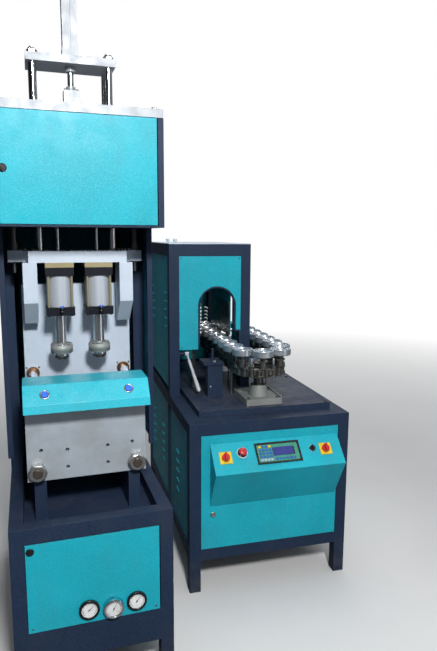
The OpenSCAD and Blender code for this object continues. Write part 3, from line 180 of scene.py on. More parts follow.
def facing_down(x: float, y: float, z: float) -> Axes:
    """Axes on a face that looks down."""
    return Axes((x, y, z), RIGHT, FRONT, DOWN)


def spun_axes(angle: float) -> Axes:
    """Axes at the origin, turned anticlockwise round z by an angle in radians."""
    right = (math.cos(angle), math.sin(angle), 0.0)
    return Axes((0.0, 0.0, 0.0), right, (-math.sin(angle), math.cos(angle), 0.0))


def full_turn(sides: int) -> np.ndarray:
    """Angles of evenly spaced corners round a circle."""
    return np.linspace(0.0, 2.0 * np.pi, sides, endpoint=False)


def bearings(angle: np.ndarray) -> np.ndarray:
    """Unit directions at the given angles: cos a and sin a in a last axis of 2."""
    return np.stack([np.cos(angle), np.sin(angle)], axis=-1)


def line(start: Place, end: Place, count: int) -> np.ndarray:
    """Evenly spaced places from one to another, both included."""
    return np.linspace(np.array(start, float), np.array(end, float), count)


def grid_shape(rows: np.ndarray, smooth: bool = True, capped: bool = True) -> Shape:
    """Skins a stack of equal rings.

    Args:
        rows: rings by corners by 3; each ring runs anticlockwise seen from above.
        smooth: whether the sides are shaded as a curve.
        capped: whether the first and the last ring are filled.

    Returns:
        The skin: quads between neighbouring rings, and a flat face at each end.
    """
    rings, corners = rows.shape[:2]
    index = np.arange(rings * corners).reshape(rings, corners)
    after = np.roll(index, -1, axis=1)
    quads = np.stack([index[:-1], after[:-1], after[1:], index[1:]], axis=-1)
    faces = quads.reshape(-1, 4).tolist()
    flags = [smooth] * len(faces)
    if capped:
        faces += [index[0, ::-1].tolist(), index[-1].tolist()]
        flags += [False, False]
    return Shape(rows.reshape(-1, 3).astype(float), faces, flags)


def spun_rows(profile: Profile, sides: int) -> np.ndarray:
    """Carries a profile round z: a point at angle a is (r cos a, r sin a, h).

    Args:
        profile: radius and height pairs.
        sides: corners in each ring.

    Returns:
        One ring of corners for each pair, as rings by corners by 3.
    """
    radius, height = np.array(profile, float).T
    rise = np.broadcast_to(height[:, None, None], (len(radius), sides, 1))
    flat = radius[:, None, None] * bearings(full_turn(sides))[None]
    return np.concatenate([flat, rise], axis=-1)


def turned(profile: Profile, sides: int = 48, smooth: bool = True) -> Shape:
    """Turns a profile round z into a solid.

    The first and last rings are filled, so a profile ends at a small radius where
    it should close.

    Args:
        profile: radius and height pairs, from the bottom up.
        sides: corners in each ring.
        smooth: whether the sides are shaded as a curve.

    Returns:
        The turned shape.
    """
    return grid_shape(spun_rows(profile, sides), smooth=smooth)


def disc(radius: float, low: float, edge: float, middle: float) -> Shape:
    """A thin flat-shaded disc; low is its back, edge and middle are heights of its front."""
    profile = [(AXIS_RADIUS, low), (radius, low), (radius, edge), (AXIS_RADIUS, middle)]
    return turned(profile, smooth=False)


def turned_ring(profile: Profile, sides: int = 48) -> Shape:
    """Turns a closed profile round z, so the shape has a hole through it.

    Args:
        profile: radius and height pairs round the section, anticlockwise.
        sides: corners in each ring.

    Returns:
        The ring.
    """
    return welded(grid_shape(spun_rows([*profile, profile[0]], sides), capped=False))


def welded(shape: Shape) -> Shape:
    """Joins corners that lie on one place.

    Args:
        shape: the shape to clean.

    Returns:
        The shape without doubled corners or empty faces.
    """
    keys = np.round(shape.points / WELD_REACH).astype(np.int64)
    _, first, inverse = np.unique(keys, axis=0, return_index=True, return_inverse=True)
    inverse = inverse.reshape(-1)
    faces, flags = [], []
    for face, flag in zip(shape.faces, shape.smooth):
        kept = list(dict.fromkeys(inverse[face].tolist()))
        if len(kept) > 2:
            faces.append(kept)
            flags.append(flag)
    return Shape(shape.points[first], faces, flags)


def box_corners(half_width: float, half_height: float) -> np.ndarray:
    """Corners of a rectangle about the origin, anticlockwise from the lower right."""
    return np.array([[1, -1], [1, 1], [-1, 1], [-1, -1]]) * [half_width, half_height]


def layered(outline: np.ndarray, layers: Profile) -> Shape:
    """Stacks copies of an outline, each scaled in by an inset, with flat sides.

    Args:
        outline: corners in x and y, anticlockwise about the middle.
        layers: inset and height of each copy, from the bottom up.

    Returns:
        The closed stack.
    """
    half = np.abs(outline).max(axis=0)
    rows = [np.column_stack([outline * ((half - inset) / half), np.full(len(outline), height)])
            for inset, height in layers]
    return grid_shape(np.stack(rows), smooth=False)


def slab(width: float, height: float, thick: float, radius: float, edge: float) -> Shape:
    """A plate with round corners and a chamfered front edge, its back at z = 0."""
    quarter = np.array([-1.0, 0.0, 1.0, 2.0]) * np.pi / 2.0
    turn = quarter[:, None] + np.linspace(0.0, np.pi / 2.0, CORNER_STEPS)[None]
    centres = box_corners(width / 2 - radius, height / 2 - radius)
    outline = (centres[:, None] + bearings(turn) * radius).reshape(-1, 2)
    return layered(outline, [(0.0, 0.0), (0.0, thick - edge), (edge, thick)])


def brick(low: Place, high: Place) -> Shape:
    """A plain block between two corners."""
    middle, half = (np.array(high) + np.array(low)) / 2, (np.array(high) - np.array(low)) / 2
    block = layered(box_corners(half[0], half[1]), [(0.0, -half[2]), (0.0, half[2])])
    return block.moved(tuple(middle))


def hex_head(across: float, height: float) -> Shape:
    """A hexagon screw head of the given width across flats, its top chamfered."""
    outline = bearings(full_turn(6)) * across / math.sqrt(3.0)
    return layered(outline, [(0.0, 0.0), (0.0, height * 0.8), (across * 0.08, height)])


def socket_head(radius: float, height: float) -> Shape:
    """A cylinder head screw with a six-sided socket, as one closed skin.

    The rings run up the side, over the rim and down into the socket. A socket
    corner at angle a is at the hexagon's flat, cos 30 / cos(a mod 60 - 30).
    """
    angle, sector = full_turn(24), np.pi / 3.0
    unit = bearings(angle)
    flats = np.cos(sector / 2) / np.cos((angle % sector) - sector / 2)
    socket = unit * (radius * 0.52 * flats)[:, None]
    steps = [(unit * radius, 0.0), (unit * radius, height * 0.85),
             (unit * radius * 0.92, height), (socket, height), (socket, height * 0.4)]
    rows = [np.column_stack([ring, np.full(len(angle), rise)]) for ring, rise in steps]
    return grid_shape(np.stack(rows), smooth=False)


def pan_head(radius: float, height: float) -> Shape:
    """A domed screw head: radius falls as a quarter ellipse while height rises."""
    turn = np.linspace(0.0, np.pi / 2.0, 6)[:-1]
    dome = [(radius * math.cos(t), height * (0.25 + 0.75 * math.sin(t))) for t in turn]
    return turned([(radius, 0.0), *dome, (radius * 0.1, height)], sides=20)


def headings(path: np.ndarray) -> np.ndarray:
    """Unit direction of a path at each of its points."""
    step = np.gradient(path, axis=0)
    return step / np.linalg.norm(step, axis=1)[:, None]


def swept(path: np.ndarray, section: np.ndarray, normal: Place) -> Shape:
    """Carries a section along an open path that lies in a plane.

    At each path point the section's first axis lies across the path in the plane
    and its second axis along the plane's normal.

    Args:
        path: path points.
        section: section corners, across and out, anticlockwise.
        normal: unit normal of the path's plane.

    Returns:
        The closed bar.
    """
    across = np.cross(normal, headings(path))[:, None]
    rows = path[:, None] + across * section[None, :, :1] + np.array(normal) * section[None, :, 1:]
    return grid_shape(rows[:, ::-1])


def tube(path: np.ndarray, radius: float, sides: int) -> Shape:
    """Carries a circle along a path, its frame turned no more than the path turns.

    Args:
        path: path points; the first step isn't upright.
        radius: radius of the tube.
        sides: corners of the circle.

    Returns:
        The closed tube.
    """
    step = headings(path)
    first = np.cross(step[0], UP)
    side = [first / np.linalg.norm(first)]
    for direction in step[1:]:
        square = side[-1] - direction * np.dot(side[-1], direction)
        side.append(square / np.linalg.norm(square))
    side = np.array(side)
    ring = bearings(full_turn(sides))[None, :, None]
    circle = ring[..., 0] * side[:, None] + ring[..., 1] * np.cross(step, side)[:, None]
    return grid_shape(path[:, None] + radius * circle)


def spline(points: list[Place], count: int) -> np.ndarray:
    """Smooth curve through points: a Catmull-Rom blend of each four neighbours."""
    knots = np.array(points, float)
    knots = np.vstack([2 * knots[0] - knots[1], knots, 2 * knots[-1] - knots[-2]])
    t = np.linspace(0.0, len(points) - 1.0001, count)
    i = t.astype(int)
    u = (t - i)[:, None]
    a, b, c, d = knots[i], knots[i + 1], knots[i + 2], knots[i + 3]
    return 0.5 * (2 * b + (c - a) * u + (2 * a - 5 * b + 4 * c - d) * u**2
                  + (3 * b - a - 3 * c + d) * u**3)


# ------------------------------------------------------------------- finishes


def shaded(colour: Colour, factor: float, lift: float = 0.0) -> Colour:
    """Scales a colour and lifts it, up to full white at most."""
    return tuple(min(part * factor + lift, 1.0) for part in colour)


@dataclass(frozen=True)
class Cloud:
    """A patchy share of a surface: noise between two levels.

    Args:
        scale: grains in each metre.
        detail: number of finer layers.
        low, high: noise levels where the share starts and where it is full.
        share: the full share.
        rough: strength of the finer layers.
        stretch: factor of the coordinates along each axis, or None.
    """

    scale: float
    detail: float
    low: float
    high: float
    share: float = 1.0
    rough: float = 0.5
    stretch: Place | None = None


class Tree:
    """A node tree, built with short calls."""

    def __init__(self, tree: bpy.types.NodeTree) -> None:
        """Starts with an empty tree.

        Args:
            tree: the node tree of a material or a world, which is cleared.
        """
        self.tree = tree
        tree.nodes.clear()

    def node(self, kind: str, *values: object, **named: object) -> bpy.types.Node:
        """Adds a node and feeds its inputs.

        Args:
            kind: the node's type without its first word, ShaderNode.
            values: values of the first inputs, in order.
            named: values of other inputs, with underscores for the blanks.

        Returns:
            The new node.
        """
        node = self.tree.nodes.new(f"ShaderNode{kind}")
        for number, value in enumerate(values):
            self.feed(node.inputs[number], value)
        for name, value in named.items():
            self.feed(node.inputs[name.replace("_", " ")], value)
        return node

    def feed(self, target: Socket, value: object) -> None:
        """Links a socket to an input, or sets a plain value on it.

        Args:
            target: the input socket.
            value: a socket, a number, a vector or a colour.
        """
        if isinstance(value, Socket):
            self.tree.links.new(value, target)
        elif isinstance(value, tuple) and target.type == "RGBA":
            target.default_value = (*value, 1.0)
        else:
            target.default_value = value

    def span(self, value: Socket, low: float, high: float,
             to_low: float = 0.0, to_high: float = 1.0) -> Socket:
        """Maps a value from one range to another, clamped."""
        node = self.node("MapRange", Value=value, From_Min=low, From_Max=high,
                         To_Min=to_low, To_Max=to_high)
        node.clamp = True
        return node.outputs[0]

    def sum(self, operation: str, first: object, second: object = 0.0) -> Socket:
        """One step of arithmetic on two values."""
        node = self.node("Math", first, second)
        node.operation = operation
        return node.outputs[0]

    def times(self, first: object, second: object) -> Socket:
        """The product of two values."""
        return self.sum("MULTIPLY", first, second)

    def vector(self, operation: str, *values: object) -> Socket:
        """The number that an operation on vectors gives."""
        node = self.node("VectorMath", *values)
        node.operation = operation
        return node.outputs["Value"]


class Graph(Tree):
    """A material's node tree, round one principled shader."""

    def __init__(self, name: str) -> None:
        """Starts a tree that shows the plain shader.

        Args:
            name: the material's name.
        """
        self.material = bpy.data.materials.new(name)
        self.material.use_nodes = True
        super().__init__(self.material.node_tree)
        self.shader = self.node("BsdfPrincipled")
        self.output = self.node("OutputMaterial", self.shader.outputs[0])
        self.place = self.node("TexCoord").outputs["Object"]

    def set(self, **values: object) -> None:
        """Feeds the shader's inputs, with underscores for the blanks in their names."""
        for name, value in values.items():
            self.feed(self.shader.inputs[name.replace("_", " ")], value)

    def noise(self, scale: float, detail: float, rough: float = 0.5,
              stretch: Place | None = None) -> Socket:
        """Cloud noise on Object coordinates.

        Args:
            scale: grains in each metre.
            detail: number of finer layers.
            rough: strength of the finer layers.
            stretch: factor of the coordinates along each axis, or None.

        Returns:
            The grey value.
        """
        place = self.place
        if stretch:
            place = self.node("Mapping", Vector=place, Scale=stretch).outputs[0]
        node = self.node("TexNoise", Vector=place, Scale=scale, Detail=detail, Roughness=rough)
        return node.outputs["Fac"]

    def cloud(self, cloud: Cloud, factor: float = 1.0) -> Socket:
        """A patchy share, as large as the cloud's own share times a factor."""
        grey = self.noise(cloud.scale, cloud.detail, cloud.rough, cloud.stretch)
        return self.span(grey, cloud.low, cloud.high, 0.0, cloud.share * factor)

    def uneven(self, scale: float, detail: float, low: float, high: float) -> Socket:
        """A value that drifts in soft clouds between two limits."""
        return self.span(self.noise(scale, detail), 0.3, 0.7, low, high)

    def mixed(self, share: Socket, first: Socket, second: Socket) -> Socket:
        """Mixes two numbers by a share of the second."""
        return self.sum("ADD", first, self.times(share, self.sum("SUBTRACT", second, first)))

    def blend(self, share: object, first: object, second: object) -> Socket:
        """Mixes two colours.

        Args:
            share: share of the second colour.
            first: the colour at share 0.
            second: the colour at share 1.

        Returns:
            The mixed colour.
        """
        node = self.node("Mix", share)
        node.data_type = "RGBA"
        self.feed(node.inputs[6], first)
        self.feed(node.inputs[7], second)
        return node.outputs[2]

    def coated(self, base: object, *coats: tuple[Socket, Colour]) -> Socket:
        """Lays colours over a base one after another, each by its own share."""
        for share, colour in coats:
            base = self.blend(share, base, colour)
        return base

    def coordinate(self, axis: str) -> Socket:
        """One Object coordinate in metres."""
        return self.node("SeparateXYZ", self.place).outputs[axis]

    def heater_depth(self) -> Socket:
        """Depth behind the heater table's front in metres, along the turned heater."""
        start = float(np.dot(UNIT_SHIFT - np.array(HEATER_CORNER), HEATER_BACK)) * MM
        return self.sum("ADD", self.vector("DOT_PRODUCT", self.place, HEATER_BACK), start)

    def normal(self) -> Socket:
        """The surface's own direction."""
        return self.node("NewGeometry").outputs["Normal"]

    def facing(self, axis: str) -> Socket:
        """One coordinate of the surface's own direction."""
        return self.node("SeparateXYZ", self.normal()).outputs[axis]

    def soft_edges(self, radius: float) -> Socket:
        """Surface direction rounded off near edges."""
        node = self.node("Bevel", Radius=radius)
        node.samples = 4
        return node.outputs[0]

    def edges(self, radius: float) -> Socket:
        """Grows from 0 on flat faces to 1 at sharp edges."""
        likeness = self.vector("DOT_PRODUCT", self.soft_edges(radius), self.normal())
        return self.span(likeness, 0.99, 0.75)

    def relief(self, height: Socket, depth: float, strength: float,
               edge_radius: float = 0.0) -> None:
        """Bends the shader's surface direction by a height.

        Args:
            height: the grey height.
            depth: real depth in metres of the full range.
            strength: share of the effect.
            edge_radius: radius that edges are rounded to, or 0.
        """
        node = self.node("Bump", Strength=strength, Distance=depth, Height=height)
        if edge_radius:
            self.feed(node.inputs["Normal"], self.soft_edges(edge_radius))
        self.set(Normal=node.outputs[0])


class Recipe:
    """A look that can be built as a material."""

    def dress(self, g: Graph) -> None:
        """Builds the look in a material's tree.

        Args:
            g: the material's tree.
        """
        raise NotImplementedError

    def build(self, name: str) -> bpy.types.Material:
        """Makes the material.

        Args:
            name: the material's name.

        Returns:
            The finished material.
        """
        g = Graph(name)
        self.dress(g)
        return g.material


@dataclass(frozen=True)
class PowderCoat(Recipe):
    """Textured powder coat on folded sheet and tube.

    Args:
        colour: the paint.
        fleck: colour of the fine pale flecks.
        flecks: share of the flecks.
        roughness: middle roughness.
        dust: share of brown dust on faces that look up.
        scuffs_and_edge_highlights: share of bare worn edges, which also paint light edge
            highlights.
        sheen: strength of the mirror-like share.
    """

    colour: Colour
    fleck: Colour
    flecks: float
    roughness: float
    dust: float
    scuffs_and_edge_highlights: float
    sheen: float

    SHADES = Cloud(4.0, 4.0, 0.35, 0.65)
    COARSE_FLECKS = Cloud(170.0, 2.0, 0.50, 0.72, 0.35, 0.6)
    FINE_FLECKS = Cloud(360.0, 2.0, 0.52, 0.70, 1.4, 0.6)
    DARK_FLECKS = Cloud(300.0, 2.0, 0.42, 0.30, 0.35)
    SMEARS, SMEAR = Cloud(9.0, 6.0, 0.52, 0.78, 0.16, 0.65, (1.0, 1.0, 0.35)), (0.10, 0.09, 0.075)
    DUSTY, DUST = Cloud(14.0, 5.0, 0.35, 0.75, 1.0, 0.6), (0.23, 0.19, 0.15)
    GRIMY, GRIME = Cloud(30.0, 5.0, 0.35, 0.7, 0.5), (0.12, 0.10, 0.085)
    # bare worn edges, also standing in for painted edge highlights
    WORN, BARE = Cloud(55.0, 5.0, 0.52, 0.68, 1.0, 0.7), (0.30, 0.29, 0.28)
    LEVEL, FOOT, EDGE = (0.7, 0.98), (0.16, 0.0), 0.0016

    def surface(self, g: Graph) -> tuple[Socket, Socket]:
        """Works out the paint's look and its relief.

        Dust lies on level faces, grime on the lowest 160 mm, and edges are worn bare, which also
        paints light edge highlights.

        Args:
            g: the material's tree.

        Returns:
            Sockets of the colour and the roughness.
        """
        lying = g.times(g.span(g.facing("Z"), *self.LEVEL), g.cloud(self.DUSTY))
        paint = g.coated(
            g.blend(g.cloud(self.SHADES), shaded(self.colour, 0.84), self.colour),
            (g.cloud(self.COARSE_FLECKS, self.flecks), self.fleck),
            (g.cloud(self.FINE_FLECKS, self.flecks), self.fleck),
            (g.cloud(self.DARK_FLECKS), shaded(self.colour, 0.55)),
            (g.cloud(self.SMEARS), self.SMEAR),
            (g.times(lying, self.dust), self.DUST),
            (g.times(g.span(g.coordinate("Z"), *self.FOOT), g.cloud(self.GRIMY)), self.GRIME),
            # bare worn edges, which also paint light edge highlights
            (g.times(g.edges(self.EDGE), g.cloud(self.WORN, self.scuffs_and_edge_highlights)), self.BARE))
        g.relief(g.noise(480.0, 2.0), 0.00035, 0.45, 0.0012)
        return paint, g.uneven(22.0, 4.0, self.roughness - 0.07, self.roughness + 0.09)

    def dress(self, g: Graph) -> None:
        """Shows the paint all over."""
        paint, rough = self.surface(g)
        g.set(Base_Color=paint, Roughness=rough, Specular_IOR_Level=self.sheen)


@dataclass(frozen=True)
class BareMetal(Recipe):
    """Milled, ground, turned or cast metal.

    Args:
        colour: the clean metal.
        stain: colour of its stains.
        roughness: middle roughness.
        stretch: how the machining marks run, as factors of the coordinates.
        marks: grains of the marks in each metre.
        stains: share of the stains.
        metallic: 1 for bare metal, less under oxide or lacquer.
        depth: depth of the marks in metres.
    """

    colour: Colour
    stain: Colour
    roughness: float
    stretch: Place
    marks: float
    stains: float
    metallic: float = 1.0
    depth: float = 0.0001

    BLOTCHES = Cloud(11.0, 6.0, 0.42, 0.75, 1.0, 0.6)
    SPECKS = Cloud(240.0, 3.0, 0.66, 0.74, 0.5)
    EDGE, RELIEF = 0.001, (0.4, 0.0009)

    def surface(self, g: Graph) -> tuple[Socket, Socket, Socket]:
        """Works out the metal's look, with a painted highlight on sharp edges.

        Args:
            g: the material's tree.

        Returns:
            Sockets of the colour, the roughness and the machining marks.
        """
        marks = g.noise(self.marks, 4.0, 0.6, self.stretch)
        metal = g.coated(
            self.colour,
            (g.cloud(self.BLOTCHES, self.stains), self.stain),
            (g.span(marks, 0.3, 0.7, 0.0, 0.22), shaded(self.colour, 0.6)),
            (g.cloud(self.SPECKS), self.stain),
            # sharp edges made lighter: a painted edge highlight
            (g.edges(self.EDGE), shaded(self.colour, 1.2)))
        return metal, g.uneven(26.0, 5.0, self.roughness - 0.08, self.roughness + 0.1), marks

    def dress(self, g: Graph) -> None:
        """Shows the metal all over."""
        colour, rough, marks = self.surface(g)
        g.set(Base_Color=colour, Roughness=rough, Metallic=self.metallic)
        g.relief(marks, self.depth, *self.RELIEF)


@dataclass(frozen=True)
class TwoMetals(Recipe):
    """Two metals on one node, told apart by a plane across it.

    Args:
        before: the metal on the low side of the plane, which lends its marks to both.
        beyond: the metal on its high side, which lends their depth.
        axis: number of the axis across the plane.
        border: place of the plane in millimetres of the blowing unit's corner.
    """

    before: BareMetal
    beyond: BareMetal
    axis: int
    border: float

    def dress(self, g: Graph) -> None:
        """Shows one metal on each side of the plane."""
        border = float(self.border - UNIT_SHIFT[self.axis]) * MM
        past = g.sum("GREATER_THAN", g.coordinate("XYZ"[self.axis]), border)
        near, near_rough, marks = self.before.surface(g)
        far, far_rough, _ = self.beyond.surface(g)
        g.set(Base_Color=g.blend(past, near, far), Roughness=g.mixed(past, near_rough, far_rough),
              Metallic=g.span(past, 0.0, 1.0, self.before.metallic, self.beyond.metallic))
        g.relief(marks, self.beyond.depth, *BareMetal.RELIEF)


@dataclass(frozen=True)
class MouldedPlastic(Recipe):
    """Plastic, rubber or bakelite.

    Args:
        colour: the plastic.
        roughness: middle roughness.
        texture: depth in metres of the moulded grain.
        coat: share of a clear gloss over it.
    """

    colour: Colour
    roughness: float
    texture: float = 0.00005
    coat: float = 0.0

    SHADES = Cloud(35.0, 4.0, 0.35, 0.7)
    DUSTY, DUST = Cloud(90.0, 4.0, 0.4, 0.7), (0.30, 0.28, 0.25)

    def dress(self, g: Graph) -> None:
        """Shows the plastic with a little dust on faces that look up."""
        dusty = g.times(g.span(g.facing("Z"), 0.4, 1.0, 0.0, 0.12), g.cloud(self.DUSTY))
        tint = g.coated(self.colour, (g.cloud(self.SHADES), shaded(self.colour, 0.82, 0.004)),
                        (dusty, self.DUST))
        rough = g.uneven(60.0, 4.0, self.roughness - 0.06, self.roughness + 0.08)
        g.set(Base_Color=tint, Roughness=rough, Coat_Weight=self.coat)
        g.relief(g.noise(700.0, 2.0), self.texture, 0.6, 0.0006)


@dataclass(frozen=True)
class ClearGlass(Recipe):
    """Clear glass.

    Args:
        tint: colour of the glass.
        roughness: roughness of its surface.
        cover: share of what lies behind that it hides.
    """

    tint: Colour
    roughness: float
    cover: float

    def dress(self, g: Graph) -> None:
        """Shows glass that is rougher and less clear where it is smeared."""
        smear = g.noise(60.0, 4.0)
        rough = g.span(smear, 0.45, 0.8, self.roughness, self.roughness + 0.12)
        g.set(Base_Color=self.tint, Roughness=rough,
              Alpha=g.span(smear, 0.4, 0.8, self.cover, self.cover + 0.06))


@dataclass(frozen=True)
class SealCylinderFinish(Recipe):
    """Black caps, a silver barrel and yellow passivated tie rods on one node.

    Args:
        middle: x of the mid plane, y of the cylinders, and half their distance.
        barrel: lowest and highest height of the bare barrel.
        barrel_radius: outer radius of the barrel; the tie rods lie outside it.
    """

    middle: Place = (250.0, 283.0, 62.5)
    barrel: Pair = (1222.3, 1324.8)
    barrel_radius: float = 42.5

    SILVER, SILVER_MARK = (0.60, 0.65, 0.72), (0.44, 0.48, 0.54)
    BLACK, BLACK_GRAIN = (0.004, 0.005, 0.010), (0.010, 0.012, 0.020)
    TIE_ROD = (0.34, 0.31, 0.20)

    def dress(self, g: Graph) -> None:
        """Tells the three parts apart by height and by distance from the nearer axis."""
        x, y, z = (g.coordinate(axis) for axis in "XYZ")
        mid_x, mid_y = (float(self.middle[axis] - UNIT_SHIFT[axis]) * MM for axis in (0, 1))
        off_middle = g.sum("ABSOLUTE", g.sum("SUBTRACT", x, mid_x))
        aside = g.sum("SUBTRACT", off_middle, self.middle[2] * MM)
        deep = g.sum("SUBTRACT", y, mid_y)
        far = g.sum("SQRT", g.sum("ADD", g.times(aside, aside), g.times(deep, deep)))
        rod = g.sum("GREATER_THAN", far, self.barrel_radius * MM)
        cap = g.sum("MAXIMUM", g.sum("GREATER_THAN", z, self.barrel[1] * MM),
                    g.sum("LESS_THAN", z, self.barrel[0] * MM))
        marks = g.span(g.noise(900.0, 3.0, 0.6, (1.0, 1.0, 0.02)), 0.3, 0.7, 0.0, 0.3)
        bare = g.blend(rod, g.blend(marks, self.SILVER, self.SILVER_MARK), self.TIE_ROD)
        grain = g.noise(300.0, 3.0)
        black = g.blend(g.span(grain, 0.4, 0.7), self.BLACK, self.BLACK_GRAIN)
        g.set(Base_Color=g.blend(cap, bare, black), Metallic=g.span(cap, 0.0, 1.0, 0.45, 0.0),
              Roughness=g.span(cap, 0.0, 1.0, 0.38, 0.50),
              Specular_IOR_Level=g.span(cap, 0.0, 1.0, 0.5, 0.2))
        g.relief(grain, 0.00008, 0.4, 0.0010)


@dataclass(frozen=True)
class LampFinish(Recipe):
    """Quartz lamps: dark tubes with white ends.

    Args:
        ends: depths where the white front ends stop and the back ends start.
    """

    ends: Pair = (498.0, 997.0)

    QUARTZ, COIL, CERAMIC = (0.16, 0.15, 0.15), (0.30, 0.28, 0.27), (0.85, 0.85, 0.83)

    def dress(self, g: Graph) -> None:
        """Tells the ends apart from the coiled tubes by depth."""
        depth = g.heater_depth()
        end = g.sum("MAXIMUM", g.sum("LESS_THAN", depth, self.ends[0] * MM),
                    g.sum("GREATER_THAN", depth, self.ends[1] * MM))
        coil = g.noise(200.0, 2.0, 0.5, (1.0, 6.0, 1.0))
        quartz = g.blend(g.span(coil, 0.4, 0.7), self.QUARTZ, self.COIL)
        g.set(Base_Color=g.blend(end, quartz, self.CERAMIC),
              Roughness=g.span(end, 0.0, 1.0, 0.12, 0.5))
        g.relief(coil, 0.00005, 0.3)


@dataclass(frozen=True)
class OvenFrontFinish(Recipe):
    """The oven's front sheet: painted outside, with painted shade where it is folded inwards into
    the dark opening.

    Args:
        fold_y: depth behind which the sheet is the folded rim, in painted shade.
        paint: finish of the outside.
        rim: colour of the painted shade on the folded rim.
    """

    fold_y: float
    paint: PowderCoat
    rim: Colour

    def dress(self, g: Graph) -> None:
        """Shows the paint, and the rim's painted shade behind the fold."""
        colour, rough = self.paint.surface(g)
        # painted shade: the fold behind fold_y takes the dark rim colour
        behind = g.sum("GREATER_THAN", g.heater_depth(), self.fold_y * MM)
        g.set(Base_Color=g.blend(behind, colour, self.rim), Roughness=rough,
              Specular_IOR_Level=self.paint.sheen)


TEAL: Colour = (0.005, 0.44, 0.555)
SLATE: Colour = (0.015, 0.031, 0.069)
PLAIN: Place = (1.0, 1.0, 1.0)
GRAINED: Place = (9.0, 1.0, 1.0)
THREADED_STEEL = BareMetal((0.16, 0.125, 0.10), (0.05, 0.035, 0.025), 0.45, (1.0, 40.0, 1.0),
                           14.0, 0.4, 0.8, 0.001)


